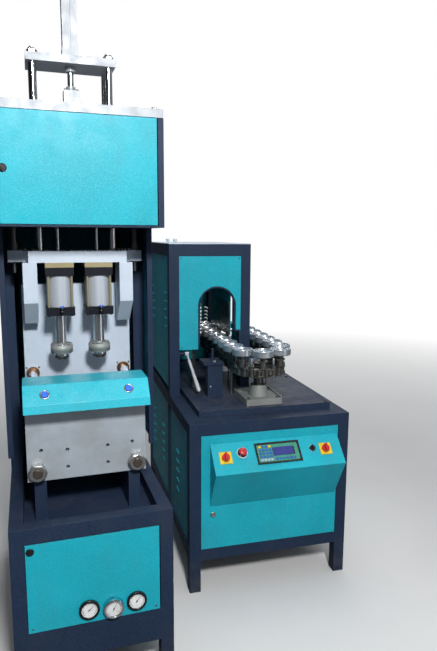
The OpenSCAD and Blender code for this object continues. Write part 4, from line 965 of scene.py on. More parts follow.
class Finish(Enum):
    """The finishes of the machine, each with the recipe that builds it.

    Numbers stand in the order of the recipe's fields. A name used further down
    in this list is the recipe itself.
    """

    TEAL_PAINT = PowderCoat(TEAL, (0.12, 0.66, 0.78), 0.34, 0.40, 0.12, 0.10, 0.32)
    # the panels' teal made lighter as painted light, for the guard's sloping face that catches more
    # light
    GUARD_PAINT = PowderCoat((0.006, 0.50, 0.63), (0.24, 0.70, 0.82), 0.30, 0.34, 0.12, 0.20, 0.40)
    # the slate paints' large share of bare edges also paints their light edge highlights
    SLATE_PAINT = PowderCoat(SLATE, (0.07, 0.10, 0.17), 0.22, 0.50, 0.08, 0.60, 0.22)
    PLINTH_PAINT = PowderCoat(SLATE, (0.09, 0.12, 0.18), 0.30, 0.50, 0.24, 0.60, 0.25)
    # slate here is painted shade on the sheet's inward fold into the opening
    OVEN_FRONT = OvenFrontFinish(431.0, TEAL_PAINT, SLATE)
    PLATE = BareMetal((0.50, 0.56, 0.62), (0.25, 0.23, 0.19), 0.42, (1.0, 1.0, 9.0), 60.0,
                      0.42, 0.35)
    PALE_PLATE = BareMetal((0.60, 0.69, 0.80), (0.44, 0.47, 0.51), 0.46, GRAINED, 50.0, 0.20, 0.15)
    # the pale plate's grained aluminium, darkened as painted shade against the strong light on the
    # top plate and bridge
    TOP_PLATE = BareMetal((0.34, 0.365, 0.395), (0.26, 0.27, 0.285), 0.46, GRAINED, 50.0,
                          0.20, 0.25)
    CYLINDER_TUBE = BareMetal((0.40, 0.425, 0.455), (0.32, 0.335, 0.355), 0.50, (1.0, 1.0, 0.05),
                              300.0, 0.15, 0.15)
    NOZZLE_ROD = BareMetal((0.86, 0.89, 0.94), (0.60, 0.60, 0.60), 0.15, (1.0, 1.0, 0.1), 220.0,
                           0.08, 0.95, 0.000005)
    CHROME = BareMetal((0.78, 0.79, 0.81), (0.45, 0.43, 0.40), 0.10, (1.0, 1.0, 8.0), 220.0,
                       0.12, 1.0, 0.00001)
    OILED_STEEL = BareMetal((0.21, 0.20, 0.185), (0.05, 0.042, 0.035), 0.30, PLAIN, 170.0,
                            0.6, 0.85)
    BRIGHT_ALUMINIUM = BareMetal((0.63, 0.67, 0.72), (0.40, 0.42, 0.45), 0.30,
                                 (1.0, 1.0, 16.0), 200.0, 0.18, 0.8)
    TIE_BARS = TwoMetals(THREADED_STEEL, CHROME, 1, 134.0)
    HOLDERS = TwoMetals(OILED_STEEL, BRIGHT_ALUMINIUM, 2, 957.0)
    TURNED_STEEL = BareMetal((0.50, 0.50, 0.48), (0.22, 0.20, 0.18), 0.32, (1.0, 1.0, 14.0),
                             140.0, 0.35)
    DARK_STEEL = BareMetal((0.16, 0.16, 0.165), (0.07, 0.06, 0.055), 0.42, PLAIN, 150.0, 0.5)
    # the reflectors' bright metal darkened to grey as painted shade for the dark oven inside
    REFLECTOR = BareMetal((0.20, 0.20, 0.20), (0.12, 0.11, 0.10), 0.30, PLAIN, 60.0, 0.5)
    BRONZE = BareMetal((0.36, 0.20, 0.11), (0.16, 0.09, 0.05), 0.35, PLAIN, 160.0, 0.5)
    FIBRE_SHEET = BareMetal((0.37, 0.31, 0.165), (0.25, 0.20, 0.10), 0.55, (6.0, 1.0, 1.0), 80.0,
                            0.35, 0.1)
    GREY_CASTING = BareMetal((0.33, 0.35, 0.335), (0.21, 0.20, 0.18), 0.58, PLAIN, 180.0, 0.5, 0.4)
    SEAL_CYLINDER = SealCylinderFinish()
    LAMPS = LampFinish()
    BLACK = MouldedPlastic((0.005, 0.005, 0.006), 0.26)
    RUBBER = MouldedPlastic((0.018, 0.018, 0.019), 0.62, 0.0001)
    BLACK_GLOSS = MouldedPlastic((0.010, 0.010, 0.012), 0.22, 0.00001, 0.4)
    BLUE = MouldedPlastic((0.02, 0.16, 0.80), 0.25, 0.00001, 0.5)
    KEY_BLUE = MouldedPlastic((0.03, 0.13, 0.50), 0.35, 0.00001, 0.2)
    KEY_PALE = MouldedPlastic((0.45, 0.55, 0.75), 0.35, 0.00001, 0.2)
    RED = MouldedPlastic((0.62, 0.015, 0.02), 0.30, 0.00001, 0.5)
    YELLOW = MouldedPlastic((0.90, 0.62, 0.01), 0.35, 0.00002, 0.3)
    PANEL_GREEN = MouldedPlastic((0.05, 0.32, 0.22), 0.35, 0.00001, 0.2)
    SCREEN = MouldedPlastic((0.03, 0.04, 0.26), 0.10, 0.000002, 0.8)
    WHITE = MouldedPlastic((0.78, 0.78, 0.77), 0.45, 0.00001)
    DIAL = MouldedPlastic((0.93, 0.93, 0.92), 0.5, 0.00001)
    PALE_GRIP = MouldedPlastic((0.62, 0.64, 0.68), 0.42, 0.00003)
    GLASS = ClearGlass((0.97, 0.98, 0.98), 0.02, 0.03)

    @property
    def material(self) -> bpy.types.Material:
        """The finish's material, built on first use; the frame's own have other names."""
        name = f"look_{self.name.lower()}"
        return bpy.data.materials.get(name) or self.value.build(name)


NODES_BY_FINISH: dict[Finish, str] = {
    Finish.TEAL_PAINT: "base_panels base_door body_panels upper_door table_panels heater_door"
                       " console oven_panels",
    Finish.SLATE_PAINT: "blower_frame upper_frame table_frame oven_frame",
    Finish.PLINTH_PAINT: "chain_plinth",
    Finish.GUARD_PAINT: "guard",
    Finish.OVEN_FRONT: "oven_front_panel",
    Finish.PLATE: "front_plate rear_plate stretch_crosshead",
    Finish.PALE_PLATE: "moving_platen head_beams beam_arms oven_top",
    Finish.TOP_PLATE: "top_plate stretch_bridge",
    Finish.CYLINDER_TUBE: "clamp_cylinder stretch_cylinder",
    Finish.CHROME: "clamp_piston_rod bridge_columns stretch_piston_rod stretch_rods guide_rods",
    Finish.NOZZLE_ROD: "left_nozzle right_nozzle",
    Finish.TIE_BARS: "tie_bars",
    Finish.HOLDERS: "preform_holders",
    Finish.TURNED_STEEL: "tie_bar_nuts heater_door_lock chain_guides",
    Finish.DARK_STEEL: "beam_columns",
    Finish.OILED_STEEL: "sprockets chain",
    Finish.REFLECTOR: "lamp_reflectors",
    Finish.BRONZE: "platen_bushes",
    Finish.FIBRE_SHEET: "spacer_plates",
    Finish.GREY_CASTING: "bearing_blocks gearmotor",
    Finish.SEAL_CYLINDER: "seal_cylinders",
    Finish.LAMPS: "heat_lamps",
    Finish.BLACK: "base_door_lock upper_door_knob selector_knob",
    Finish.BLACK_GLOSS: "gauges display_panel",
    Finish.BLUE: "left_start_button right_start_button",
    Finish.RED: "left_switch_knob right_switch_knob emergency_stop",
    Finish.YELLOW: "switch_plates",
    Finish.PALE_GRIP: "hand_lever",
}


def dress_cad_nodes(nodes: dict[str, bpy.types.Object]) -> None:
    """Gives each CAD node its finish.

    Args:
        nodes: the frame's nodes by name.
    """
    finishes = {name: finish for finish, names in NODES_BY_FINISH.items() for name in names.split()}
    for name, node in nodes.items():
        finish = finishes[name]
        node.data.materials.clear()
        node.data.materials.append(finish.material)
        LOG.info("dressed %s as %s", name, finish.name.lower())


# --------------------------------------------------------------------- pieces


def add_object(name: str, data: bpy.types.ID) -> bpy.types.Object:
    """Puts an object with the given data into the scene, at the origin."""
    thing = bpy.data.objects.new(name, data)
    bpy.context.scene.collection.objects.link(thing)
    return thing


def add_piece(name: str, shape: Shape, finish: Finish, body: str) -> None:
    """Makes a piece of the object from a shape.

    Args:
        name: the piece's name.
        shape: its mesh in millimetres of the blowing unit's corner.
        finish: its finish.
        body: the CAD body that it rides on.
    """
    mesh = bpy.data.meshes.new(name)
    mesh.from_pydata(((shape.points - UNIT_SHIFT) * MM).tolist(), [], shape.faces)
    mesh.polygons.foreach_set("use_smooth", shape.smooth)
    mesh.update()
    mesh.materials.append(finish.material)
    piece = add_object(name, mesh)
    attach(piece, body)
    LOG.info("made %s with %d faces", name, len(shape.faces))


def add_screws(name: str, *groups: tuple[Shape, Iterable[Axes]],
               finish: Finish = Finish.DARK_STEEL, body: str = "root") -> None:
    """Makes one piece of many screw heads.

    Args:
        name: the piece's name.
        groups: heads, each with the axes of every place that it sits on.
        finish: finish of the heads.
        body: the CAD body that they ride on.
    """
    heads = [head.placed(axes) for head, places in groups for axes in places]
    add_piece(name, Shape.joined(heads), finish, body)


@dataclass
class PressureGauges:
    """The dials, marks, needles, bezels and glasses of the three gauges.

    Args:
        places: x and z of each gauge, from left to right.
        proud: how far each gauge stands out of the door.
        sunk: how far each dial's back lies behind the gauge's front.
        needle_turns: angle of each needle from upright, anticlockwise, in degrees.
        steel: number of the gauge with the taller steel bezel.
        door_y: y of the door's front face.
        radius: radius of a gauge.
        dial_inset, glass_inset: how much smaller a dial and a glass are.
        ticks: long ticks on a dial.
        fine: steps from one long tick to the next.
        sweep: angle from the first tick to the last, in degrees.
        arc_inset: distance of the marks' arc from the dial's edge.
    """

    places: tuple[Pair, ...] = ((227.0, 295.0), (302.0, 290.0), (377.0, 295.0))
    proud: Place = (9.0, 20.0, 9.0)
    sunk: Place = (3.0, 5.0, 3.0)
    needle_turns: Place = (-50.0, -28.0, -40.0)
    steel: int = 2
    door_y: float = -1.5
    radius: float = 32.0
    dial_inset: float = 6.6
    glass_inset: float = 7.7
    ticks: int = 11
    fine: int = 5
    sweep: float = 270.0
    arc_inset: float = 5.4

    # width, length and distance from the dial's edge to the middle
    LONG_TICK, SHORT_TICK = (0.9, 4.2, 4.4), (0.4, 2.2, 3.4)
    ARC_SECTION = np.array([[-0.2, -0.05], [0.2, -0.05], [0.2, 0.06], [-0.2, 0.06]])
    NEEDLE = np.array([[1.1, -7.0], [0.5, 17.0], [0.0, 19.0], [-0.5, 17.0], [-1.1, -7.0]])
    HUB = [(2.6, 0.3), (2.6, 1.1), (1.8, 1.6), (0.1, 1.7)]
    # distance outside the gauge's radius, and height over its front
    STEEL_BEZEL = [(0.35, -2.0), (-1.0, 0.1), (-4.0, 0.45), (-7.5, -0.2), (-7.5, -0.8),
                   (-0.9, -0.8), (-0.02, -1.6)]
    BLACK_BEZEL = [(0.3, -1.2), (-0.7, 0.1), (-4.6, 0.3), (-7.5, -0.4), (-7.5, -0.8),
                   (-0.9, -0.8), (-0.02, -1.4)]

    def build(self) -> None:
        """Builds the pieces of all three gauges."""
        rows = zip(self.places, self.proud, self.sunk, self.needle_turns)
        for number, ((x, z), proud, sunk, turn) in enumerate(rows, start=1):
            front = facing_front(x, self.door_y - proud, z)
            dial = facing_front(x, self.door_y - proud + sunk, z)
            steel = number == self.steel
            glass = disc(self.radius - self.glass_inset, -0.9, -0.3, -0.3)
            for kind, shape, finish in (
                    ("dial", self.dial().placed(dial), Finish.DIAL),
                    ("marks", self.marks().placed(dial), Finish.BLACK),
                    ("needle", self.needle(turn).placed(dial), Finish.BLACK),
                    ("bezel", self.bezel(proud, steel).placed(front),
                     Finish.CHROME if steel else Finish.BLACK),
                    ("glass", glass.placed(front), Finish.GLASS)):
                add_piece(f"gauge_{kind}_{number}", shape, finish, "base_door")

    def dial(self) -> Shape:
        """A dial, its back at z = 0."""
        return disc(self.radius - self.dial_inset, 0.0, 0.25, 0.3)

    def marks(self) -> Shape:
        """The ticks of a dial and the arc that joins them.

        A tick stands at angle a from upright, as a thin radial slab.

        Returns:
            The marks in the dial's axes.
        """
        face = self.radius - self.dial_inset
        steps = (self.ticks - 1) * self.fine
        marks = []
        for step in range(steps + 1):
            width, length, inset = self.SHORT_TICK if step % self.fine else self.LONG_TICK
            tick = slab(width, length, 0.12, 0.1, 0.04).moved((0.0, face - inset, 0.3))
            angle = math.radians(self.sweep / 2 - self.sweep * step / steps)
            marks.append(tick.placed(spun_axes(angle)))
        turn = np.radians(np.linspace(90.0 + self.sweep / 2, 90.0 - self.sweep / 2, 60))
        arc = bearings(turn) * (face - self.arc_inset)
        path = np.column_stack([arc, np.full(len(arc), 0.35)])
        return Shape.joined([*marks, swept(path, self.ARC_SECTION, UP)])

    def needle(self, turn: float) -> Shape:
        """The tapered needle and its hub.

        Args:
            turn: the needle's angle from upright, in degrees.

        Returns:
            Both in the dial's axes.
        """
        blade = layered(self.NEEDLE, [(0.0, 0.7), (0.0, 1.0)])
        return Shape.joined([blade.placed(spun_axes(math.radians(turn))), turned(self.HUB, 24)])

    def bezel(self, proud: float, steel: bool) -> Shape:
        """The ring round a dial, down to 1 mm off the door.

        Args:
            proud: how far the gauge stands out.
            steel: true for the taller steel ring.

        Returns:
            The ring in the axes of the gauge's front.
        """
        ring, foot = self.STEEL_BEZEL if steel else self.BLACK_BEZEL, 1.0 - proud
        section = [(ring[-1][0], foot), (ring[0][0], foot), *ring]
        return turned_ring([(self.radius + out, height) for out, height in section], 64)


@dataclass
class StartButtons:
    """The pale collars of the two start buttons on the guard.

    Args:
        xs: x of the two buttons.
        y, z: middle of the guard's sloping face.
        tilt: slope of the face in degrees.
        radius: radius of a button.
    """

    xs: Pair = (122.0, 378.0)
    y: float = 80.75
    z: float = 976.0
    tilt: float = 53.8
    radius: float = 11.0

    # distance outside the button's radius, and height over the face
    LIP = [(0.3, 0.0), (4.2, 0.0), (4.2, 1.2), (3.2, 2.6), (1.6, 3.0), (0.3, 2.4)]

    def build(self) -> None:
        """Builds both collars, each a ring with a rounded lip."""
        cos, sin = math.cos(math.radians(self.tilt)), math.sin(math.radians(self.tilt))
        ring = turned_ring([(self.radius + out, height) for out, height in self.LIP])
        shapes = [ring.placed(Axes((x, self.y, self.z), RIGHT, (0.0, cos, sin), (0.0, -sin, cos)))
                  for x in self.xs]
        add_piece("start_button_collars", Shape.joined(shapes), Finish.TURNED_STEEL, "root")


@dataclass
class BlowingHead:
    """Fittings, seals and fasteners of the two seal cylinders and the beams.

    Args:
        xs: x of the two cylinders.
        y: y of their axes.
        low: height of the underside of the cylinders.
        nozzle_z: height of the underside of the nozzles.
        half: half the side of a cylinder's cap.
        screw_reach: distance of a cap screw from the axis, along x and y.
        elbow: x of an elbow beside the axis, its reach out of the cap, and its height.
        beam_top: height of the beams' top.
        arm_xs, arm_ys: places of the bolts over the arms.
        hanger_y: distance of the cylinders' own bolts in front of the axes.
        seal_screw: distances of a seal's screws from the axis along x, y and z.
    """

    xs: Pair = (187.5, 312.5)
    y: float = 283.0
    low: float = 1195.0
    nozzle_z: float = 1056.0
    half: float = 45.0
    screw_reach: float = 37.0
    elbow: Place = (3.0, 14.0, 13.0)
    beam_top: float = 1405.0
    arm_xs: tuple[float, ...] = (84.0, 108.0, 392.0, 416.0)
    arm_ys: Pair = (268.0, 342.0)
    hanger_y: float = 22.0
    seal_screw: Place = (9.0, 16.0, 10.0)

    NECK = [(5.2, 6.5), (5.2, 12.0), (6.6, 12.5), (6.6, 19.0), (4.0, 21.0), (0.1, 21.2)]
    ARM = [(0.1, -1.0), (6.2, 0.0), (6.2, 15.0), (5.4, 16.0), (0.1, 16.2)]
    RELEASE = [(0.1, 15.5), (6.8, 15.5), (6.8, 18.0), (5.6, 20.5), (0.1, 20.8)]
    SEAL = [(7.4, -10.0), (20.0, -10.0), (22.5, -7.5), (22.5, 0.2), (7.4, 0.2)]
    SLEEVE = [(36.02, 10.8), (36.4, 11.2), (36.4, 37.2), (36.02, 37.8)]
    SKIRT = [(24.1, 8.6), (34.6, 8.6), (36.35, 10.4), (36.02, 10.6), (34.4, 8.98), (24.1, 8.98)]
    TOP = [(18.25, 40.0), (33.8, 40.0), (33.8, 40.4), (18.25, 40.4)]

    def build(self) -> None:
        """Builds the fittings, seals, cap screws and beam bolts."""
        self.build_fittings()
        for x, side in zip(self.xs, ("left", "right")):
            self.build_seal(x, side)
        aside = (-self.screw_reach, self.screw_reach)
        add_screws("seal_cylinder_screws", (socket_head(5.0, 3.0), [
            facing_down(x + dx, self.y + dy, self.low)
            for x, dx, dy in product(self.xs, aside, aside)]))
        add_screws("beam_bolts", (socket_head(6.5, 8.0), [
            Axes((x, y, self.beam_top)) for x, y in product(self.arm_xs, self.arm_ys)]),
            (socket_head(4.5, 6.0), [
                Axes((x + dx, self.y - self.hanger_y, self.beam_top))
                for x, dx in product(self.xs, aside)]))

    def build_fittings(self) -> None:
        """Builds a push-in elbow on the lower cap of each cylinder."""
        beside, reach, over = self.elbow
        bodies, rings = [], []
        for x in self.xs:
            front = facing_front(x + beside, self.y - self.half, self.low + over)
            rise = Axes((x + beside, self.y - self.half - reach, self.low + over))
            bodies += [hex_head(15.0, 7.0).placed(front), turned(self.NECK, 28).placed(front),
                       turned(self.ARM, 28).placed(rise)]
            rings.append(turned(self.RELEASE, 28).placed(rise))
        add_piece("air_elbows", Shape.joined(bodies), Finish.BLACK, "root")
        add_piece("air_release_rings", Shape.joined(rings), Finish.BLUE, "root")

    def build_seal(self, x: float, side: str) -> None:
        """Builds a collar's rubber seal, its cast skin and two clamp screws.

        Args:
            x: x of the nozzle's axis.
            side: left or right, as in the name of the nozzle's body.
        """
        body, under = f"{side}_nozzle", Axes((x, self.y, self.nozzle_z))
        seal = turned_ring(self.SEAL, 56).placed(under)
        add_piece(f"{body}_seal", seal, Finish.RUBBER, body)
        skin = Shape.joined([turned_ring(part, 64) for part in (self.SLEEVE, self.SKIRT, self.TOP)])
        add_piece(f"{body}_collar_skin", skin.placed(under), Finish.GREY_CASTING, body)
        dx, dy, dz = self.seal_screw
        add_screws(f"{body}_screws", (pan_head(4.2, 3.4), [
            facing_down(x + aside, self.y - dy, self.nozzle_z - dz)
            for aside in (-dx, dx)]), body=body)


@dataclass
class ClampScrews:
    """Screws round the bushes of the moving platen.

    Args:
        xs, zs: places of the four tie bars.
        y: y of the platen's front face.
        reach: distance of a screw from the bar's axis, along x and z.
    """

    xs: Pair = (92.0, 408.0)
    zs: Pair = (713.0, 975.0)
    y: float = 386.0
    reach: float = 20.5

    def build(self) -> None:
        """Builds four screws round each of the four bushes."""
        aside = (-self.reach, self.reach)
        add_screws("bush_screws", (socket_head(3.2, 2.4), [
            facing_front(x + dx, self.y, z + dz)
            for x, z, dx, dz in product(self.xs, self.zs, aside, aside)]), body="clamp")


@dataclass
class OvenDetails:
    """The oven's edge trim, its back sheet's foot, its screws and the lamps' ends.

    Args:
        arch_x, arch_w, arch_top: middle, width and top of the arch.
        low: height of the front panel's lower edge.
        front_y: y of the panel's front.
        step: x and z of the corner of the step beside the arch.
        trim: how far the trim reaches over its path, and out of it at the arch and the drop.
        foot: lowest and highest corner of the strip under the back sheet.
        lamp: x of the lamps, height of the lowest, and their pitch.
        lamp_count: number of lamps.
        combs: y of the front and the back comb plate.
        comb_gaps: distance of the ceramics in front of the first and behind the second.
        ceramic: distance of a lamp's two ceramics from its axis.
    """

    arch_x: float = 223.5
    arch_w: float = 167.0
    arch_top: float = 1220.0
    low: float = 935.0
    front_y: float = 428.0
    step: Pair = (332.0, 1015.0)
    trim: Place = (2.4, 6.4, 4.4)
    foot: tuple[Place, Place] = ((45.0, 1094.0, 720.0), (645.0, 1097.5, 746.0))
    lamp: Place = (150.0, 1006.0, 16.6)
    lamp_count: int = 8
    combs: Pair = (490.0, 1000.0)
    comb_gaps: Pair = (3.0, 7.0)
    ceramic: float = 5.6

    # from the lamp's axis and the comb plate's front: aside, back, up
    LEAD = [(27.0, 0.0, 1.0), (29.0, -9.0, 2.0), (35.0, -11.0, 2.5), (39.0, -9.0, -0.5),
            (40.0, -6.0, -5.5)]
    FRONT_SCREWS = ((56.0, 945.0), (327.0, 1354.0), (56.0, 1354.0))
    SIDE_X, SIDE_YS, SIDE_ZS = 6.0, (488.0, 1035.0), (790.0, 1352.0)

    def build(self) -> None:
        """Builds the trim, the foot of the back sheet, the lamp ends and the screws."""
        ceramics, leads = self.lamp_ends()
        for name, shape, finish, slot in (
                ("arch_edge_trim", self.arch_trim(), Finish.SLATE_PAINT, "slate_paint"),
                ("oven_back_foot", brick(*self.foot), Finish.SLATE_PAINT, "slate_paint"),
                ("lamp_ceramics", ceramics, Finish.WHITE, "lamp_quartz"),
                ("lamp_leads", leads, Finish.WHITE, "lamp_quartz")):
            add_piece(name, shape.placed(HEATER), finish, "root")
        front = [facing_front(x, self.front_y, z).within(HEATER) for x, z in self.FRONT_SCREWS]
        side = [facing_left(self.SIDE_X, y, z).within(HEATER)
                for y, z in product(self.SIDE_YS, self.SIDE_ZS)]
        add_screws("oven_screws", (pan_head(3.6, 2.4), front), (pan_head(4.0, 2.6), side))

    def arch_trim(self) -> Shape:
        """A dark strip round the arch: up, over in a half circle, down and out to the step.

        The strip's section has its first axis towards the opening; the sheet's edge
        lies in the strip.

        Returns:
            The strip in the heater's corner.
        """
        y, r, (step_x, step_z) = self.front_y + 1.0, self.arch_w / 2, self.step
        low, spring, right = self.low + 1.0, self.arch_top - r, self.arch_x + r
        turn = bearings(np.linspace(np.pi, 0.0, 40)[1:-1]) * r
        over = np.insert(turn + [self.arch_x, spring], 1, y, axis=1)
        left = line((self.arch_x - r, y, low), (self.arch_x - r, y, spring), 8)
        down = line((right, y, spring), (right, y, step_z), 6)
        flat = line((right + 2.0, y, step_z), (step_x, y, step_z), 6)
        drop = line((step_x, y, step_z + 4.0), (step_x, y, low), 6)
        inside, wide, narrow = self.trim
        strips = []
        for path, outside in ((np.vstack([left, over, down]), wide), (flat, wide), (drop, narrow)):
            section = np.array([[-outside, -inside], [inside, -inside], [inside, inside],
                                [-outside, inside]])
            strips.append(swept(path, section, BACK))
        return Shape.joined(strips)

    def lamp_ends(self) -> tuple[Shape, Shape]:
        """Two white ceramics on both ends of each lamp, and the hooked lead beside it.

        Returns:
            The ceramics and the leads, in the heater's corner.
        """
        x, low, pitch = self.lamp
        block = slab(9.4, 9.0, 13.0, 2.0, 1.2)
        sides = ((self.combs[0] - self.comb_gaps[0], facing_front),
                 (self.combs[1] + self.comb_gaps[1], facing_back))
        heights = [low + number * pitch for number in range(self.lamp_count)]
        aside = (-self.ceramic, self.ceramic)
        blocks = [block.placed(facing(x + dx, y, z))
                  for z, (y, facing), dx in product(heights, sides, aside)]
        paths = [spline([(x + dx, self.combs[0] + dy, z + dz) for dx, dy, dz in self.LEAD], 18)
                 for z in heights]
        return Shape.joined(blocks), Shape.joined([tube(path, 2.0, 10) for path in paths])


@dataclass
class ChainDetails:
    """Bright sleeves on the tall pins that stand midway between the holders.

    Args:
        middle: x and y of the front sprocket.
        pitch: pitch of the chain.
        teeth: teeth of a sprocket.
        straight: links in each straight run.
        apart: links from one tall pin to the next.
        heights: lowest and highest height of a sleeve.
    """

    middle: Pair = (347.0, 185.0)
    pitch: float = 31.75
    teeth: int = 20
    straight: int = 20
    apart: int = 3
    heights: Pair = (920.0, 950.0)

    def pin(self, number: int) -> Pair:
        """Place of a chain pin: left run, rear arc, right run, then front arc.

        Args:
            number: the pin's number from the start of the left run.

        Returns:
            Its x and y in the heater's corner.
        """
        x, front = self.middle
        back = front + self.straight * self.pitch
        radius, half = self.pitch / 2 / math.sin(math.pi / self.teeth), self.teeth // 2
        if number <= self.straight:
            return x - radius, front + number * self.pitch
        if number <= self.straight + half:
            angle = math.pi * (1.0 - (number - self.straight) / half)
            return x + radius * math.cos(angle), back + radius * math.sin(angle)
        if number <= 2 * self.straight + half:
            return x + radius, back - (number - self.straight - half) * self.pitch
        angle = -math.pi * (number - 2 * self.straight - half) / half
        return x + radius * math.cos(angle), front + radius * math.sin(angle)

    def build(self) -> None:
        """Builds the sleeves of every tall pin."""
        low, high = self.heights
        sleeve = turned([(0.1, low), (5.4, low), (5.4, high - 3.0), (4.6, high - 1.0),
                         (4.6, high + 0.4), (0.1, high + 0.6)], 24)
        pins = range(0, 2 * self.straight + self.teeth, self.apart)
        sleeves = Shape.joined([sleeve.moved((*self.pin(number), 0.0)) for number in pins])
        add_piece("tall_pin_sleeves", sleeves.placed(HEATER), Finish.BRIGHT_ALUMINIUM, "root")


@dataclass
class ConsoleDetails:
    """Keys, screen and collars of the controls on the console's upper slope.

    Args:
        top: y and z of the slope's top edge, in the heater's corner.
        slope: rise and run of the slope.
        display: x and distance down the slope of the keypad.
        film: thickness of the keypad's case over the slope.
        keypad: width and height of the keypad.
        rim: width of the case outside the film, on both sides together.
        grid: columns and rows of keys.
        first_key, key_pitch: the lower left key from the keypad's corner, and the pitch.
        lower_keys: number of keys under the screen.
        first_lower, lower_pitch: the first of them from the keypad's corner, and the pitch.
        stop, selector: x and distance down the slope of the emergency stop and the selector.
    """

    top: Pair = (-1.5, 635.0)
    slope: Pair = (95.0, 94.0)
    display: Pair = (357.0, 61.0)
    film: float = 3.0
    keypad: Pair = (190.0, 90.0)
    rim: float = 16.0
    grid: tuple[int, int] = (4, 5)
    first_key: Pair = (20.0, 16.5)
    key_pitch: float = 14.0
    lower_keys: int = 6
    first_lower: Pair = (84.0, 17.5)
    lower_pitch: float = 15.0
    stop: Pair = (206.0, 50.0)
    selector: Pair = (507.0, 57.0)

    # width, height, thickness, corner radius and chamfer
    KEY, LOWER_KEY = (10.6, 9.6, 2.9, 1.6, 0.6), (10.4, 9.4, 2.9, 1.6, 0.6)
    SCREEN, SCREEN_PLACE = (88.0, 36.0, 3.2, 3.0, 0.6), (20.5, 4.0, 0.0)
    STOP_BASE = [(8.4, 0.0), (19.5, 0.0), (19.5, 5.0), (18.0, 6.5), (8.4, 6.5)]
    STOP_RING = [(19.6, 0.0), (22.4, 0.0), (22.0, 3.2), (19.6, 4.2)]
    SELECTOR_RING = [(12.2, 0.0), (15.0, 0.0), (15.0, 2.2), (13.6, 3.4), (12.2, 3.4)]

    def axes(self, x: float, down: float, lift: float = 0.0) -> Axes:
        """Axes on the slope.

        Args:
            x: place along the console.
            down: distance down the slope from its top edge.
            lift: height over the slope.

        Returns:
            Axes with x right, y up the slope and z out of it.
        """
        tilt = math.atan2(*self.slope)
        back, high = np.array(HEATER_BACK), np.array(UP)
        up = math.cos(tilt) * back + math.sin(tilt) * high
        out = math.cos(tilt) * high - math.sin(tilt) * back
        place = np.array(HEATER.place(x, *self.top)) - up * down + out * lift
        return Axes(tuple(place), HEATER_RIGHT, tuple(up), tuple(out))

    def build(self) -> None:
        """Builds the keypad's film, keys and screen, and the collars."""
        (width, height), (columns, rows) = self.keypad, self.grid
        left, low = -width / 2, -height / 2
        blue, pale, gold = [], [], []
        for column, row in product(range(columns), range(rows)):
            key = slab(*self.KEY).moved((left + self.first_key[0] + column * self.key_pitch,
                                         low + self.first_key[1] + row * self.key_pitch, 0.0))
            corner = row == rows - 1 and column in (0, columns - 1)
            (gold if corner else pale if row == 0 else blue).append(key)
        for number in range(self.lower_keys):
            blue.append(slab(*self.LOWER_KEY).moved((
                left + self.first_lower[0] + number * self.lower_pitch,
                low + self.first_lower[1], 0.0)))
        film = slab(width - self.rim, height - self.rim, 0.5, 6.0, 0.2)
        face = self.axes(*self.display, self.film)
        stop, selector = self.axes(*self.stop), self.axes(*self.selector)
        for name, shape, axes, finish, slot in (
                ("keypad_film", film, face, Finish.PANEL_GREEN, "black_plastic"),
                ("number_keys", Shape.joined(blue), face, Finish.KEY_BLUE, "black_plastic"),
                ("command_keys", Shape.joined(pale), face, Finish.KEY_PALE, "black_plastic"),
                ("corner_keys", Shape.joined(gold), face, Finish.YELLOW, "yellow_plastic"),
                ("keypad_screen", slab(*self.SCREEN).moved(self.SCREEN_PLACE), face,
                 Finish.SCREEN, "black_plastic"),
                ("stop_base", turned_ring(self.STOP_BASE), stop, Finish.BLACK, "black_plastic"),
                ("stop_ring", turned_ring(self.STOP_RING), stop, Finish.WHITE, "black_plastic"),
                ("selector_ring", turned_ring(self.SELECTOR_RING), selector, Finish.CHROME,
                 "machined_steel")):
            add_piece(name, shape.placed(axes), finish, "heater_door")


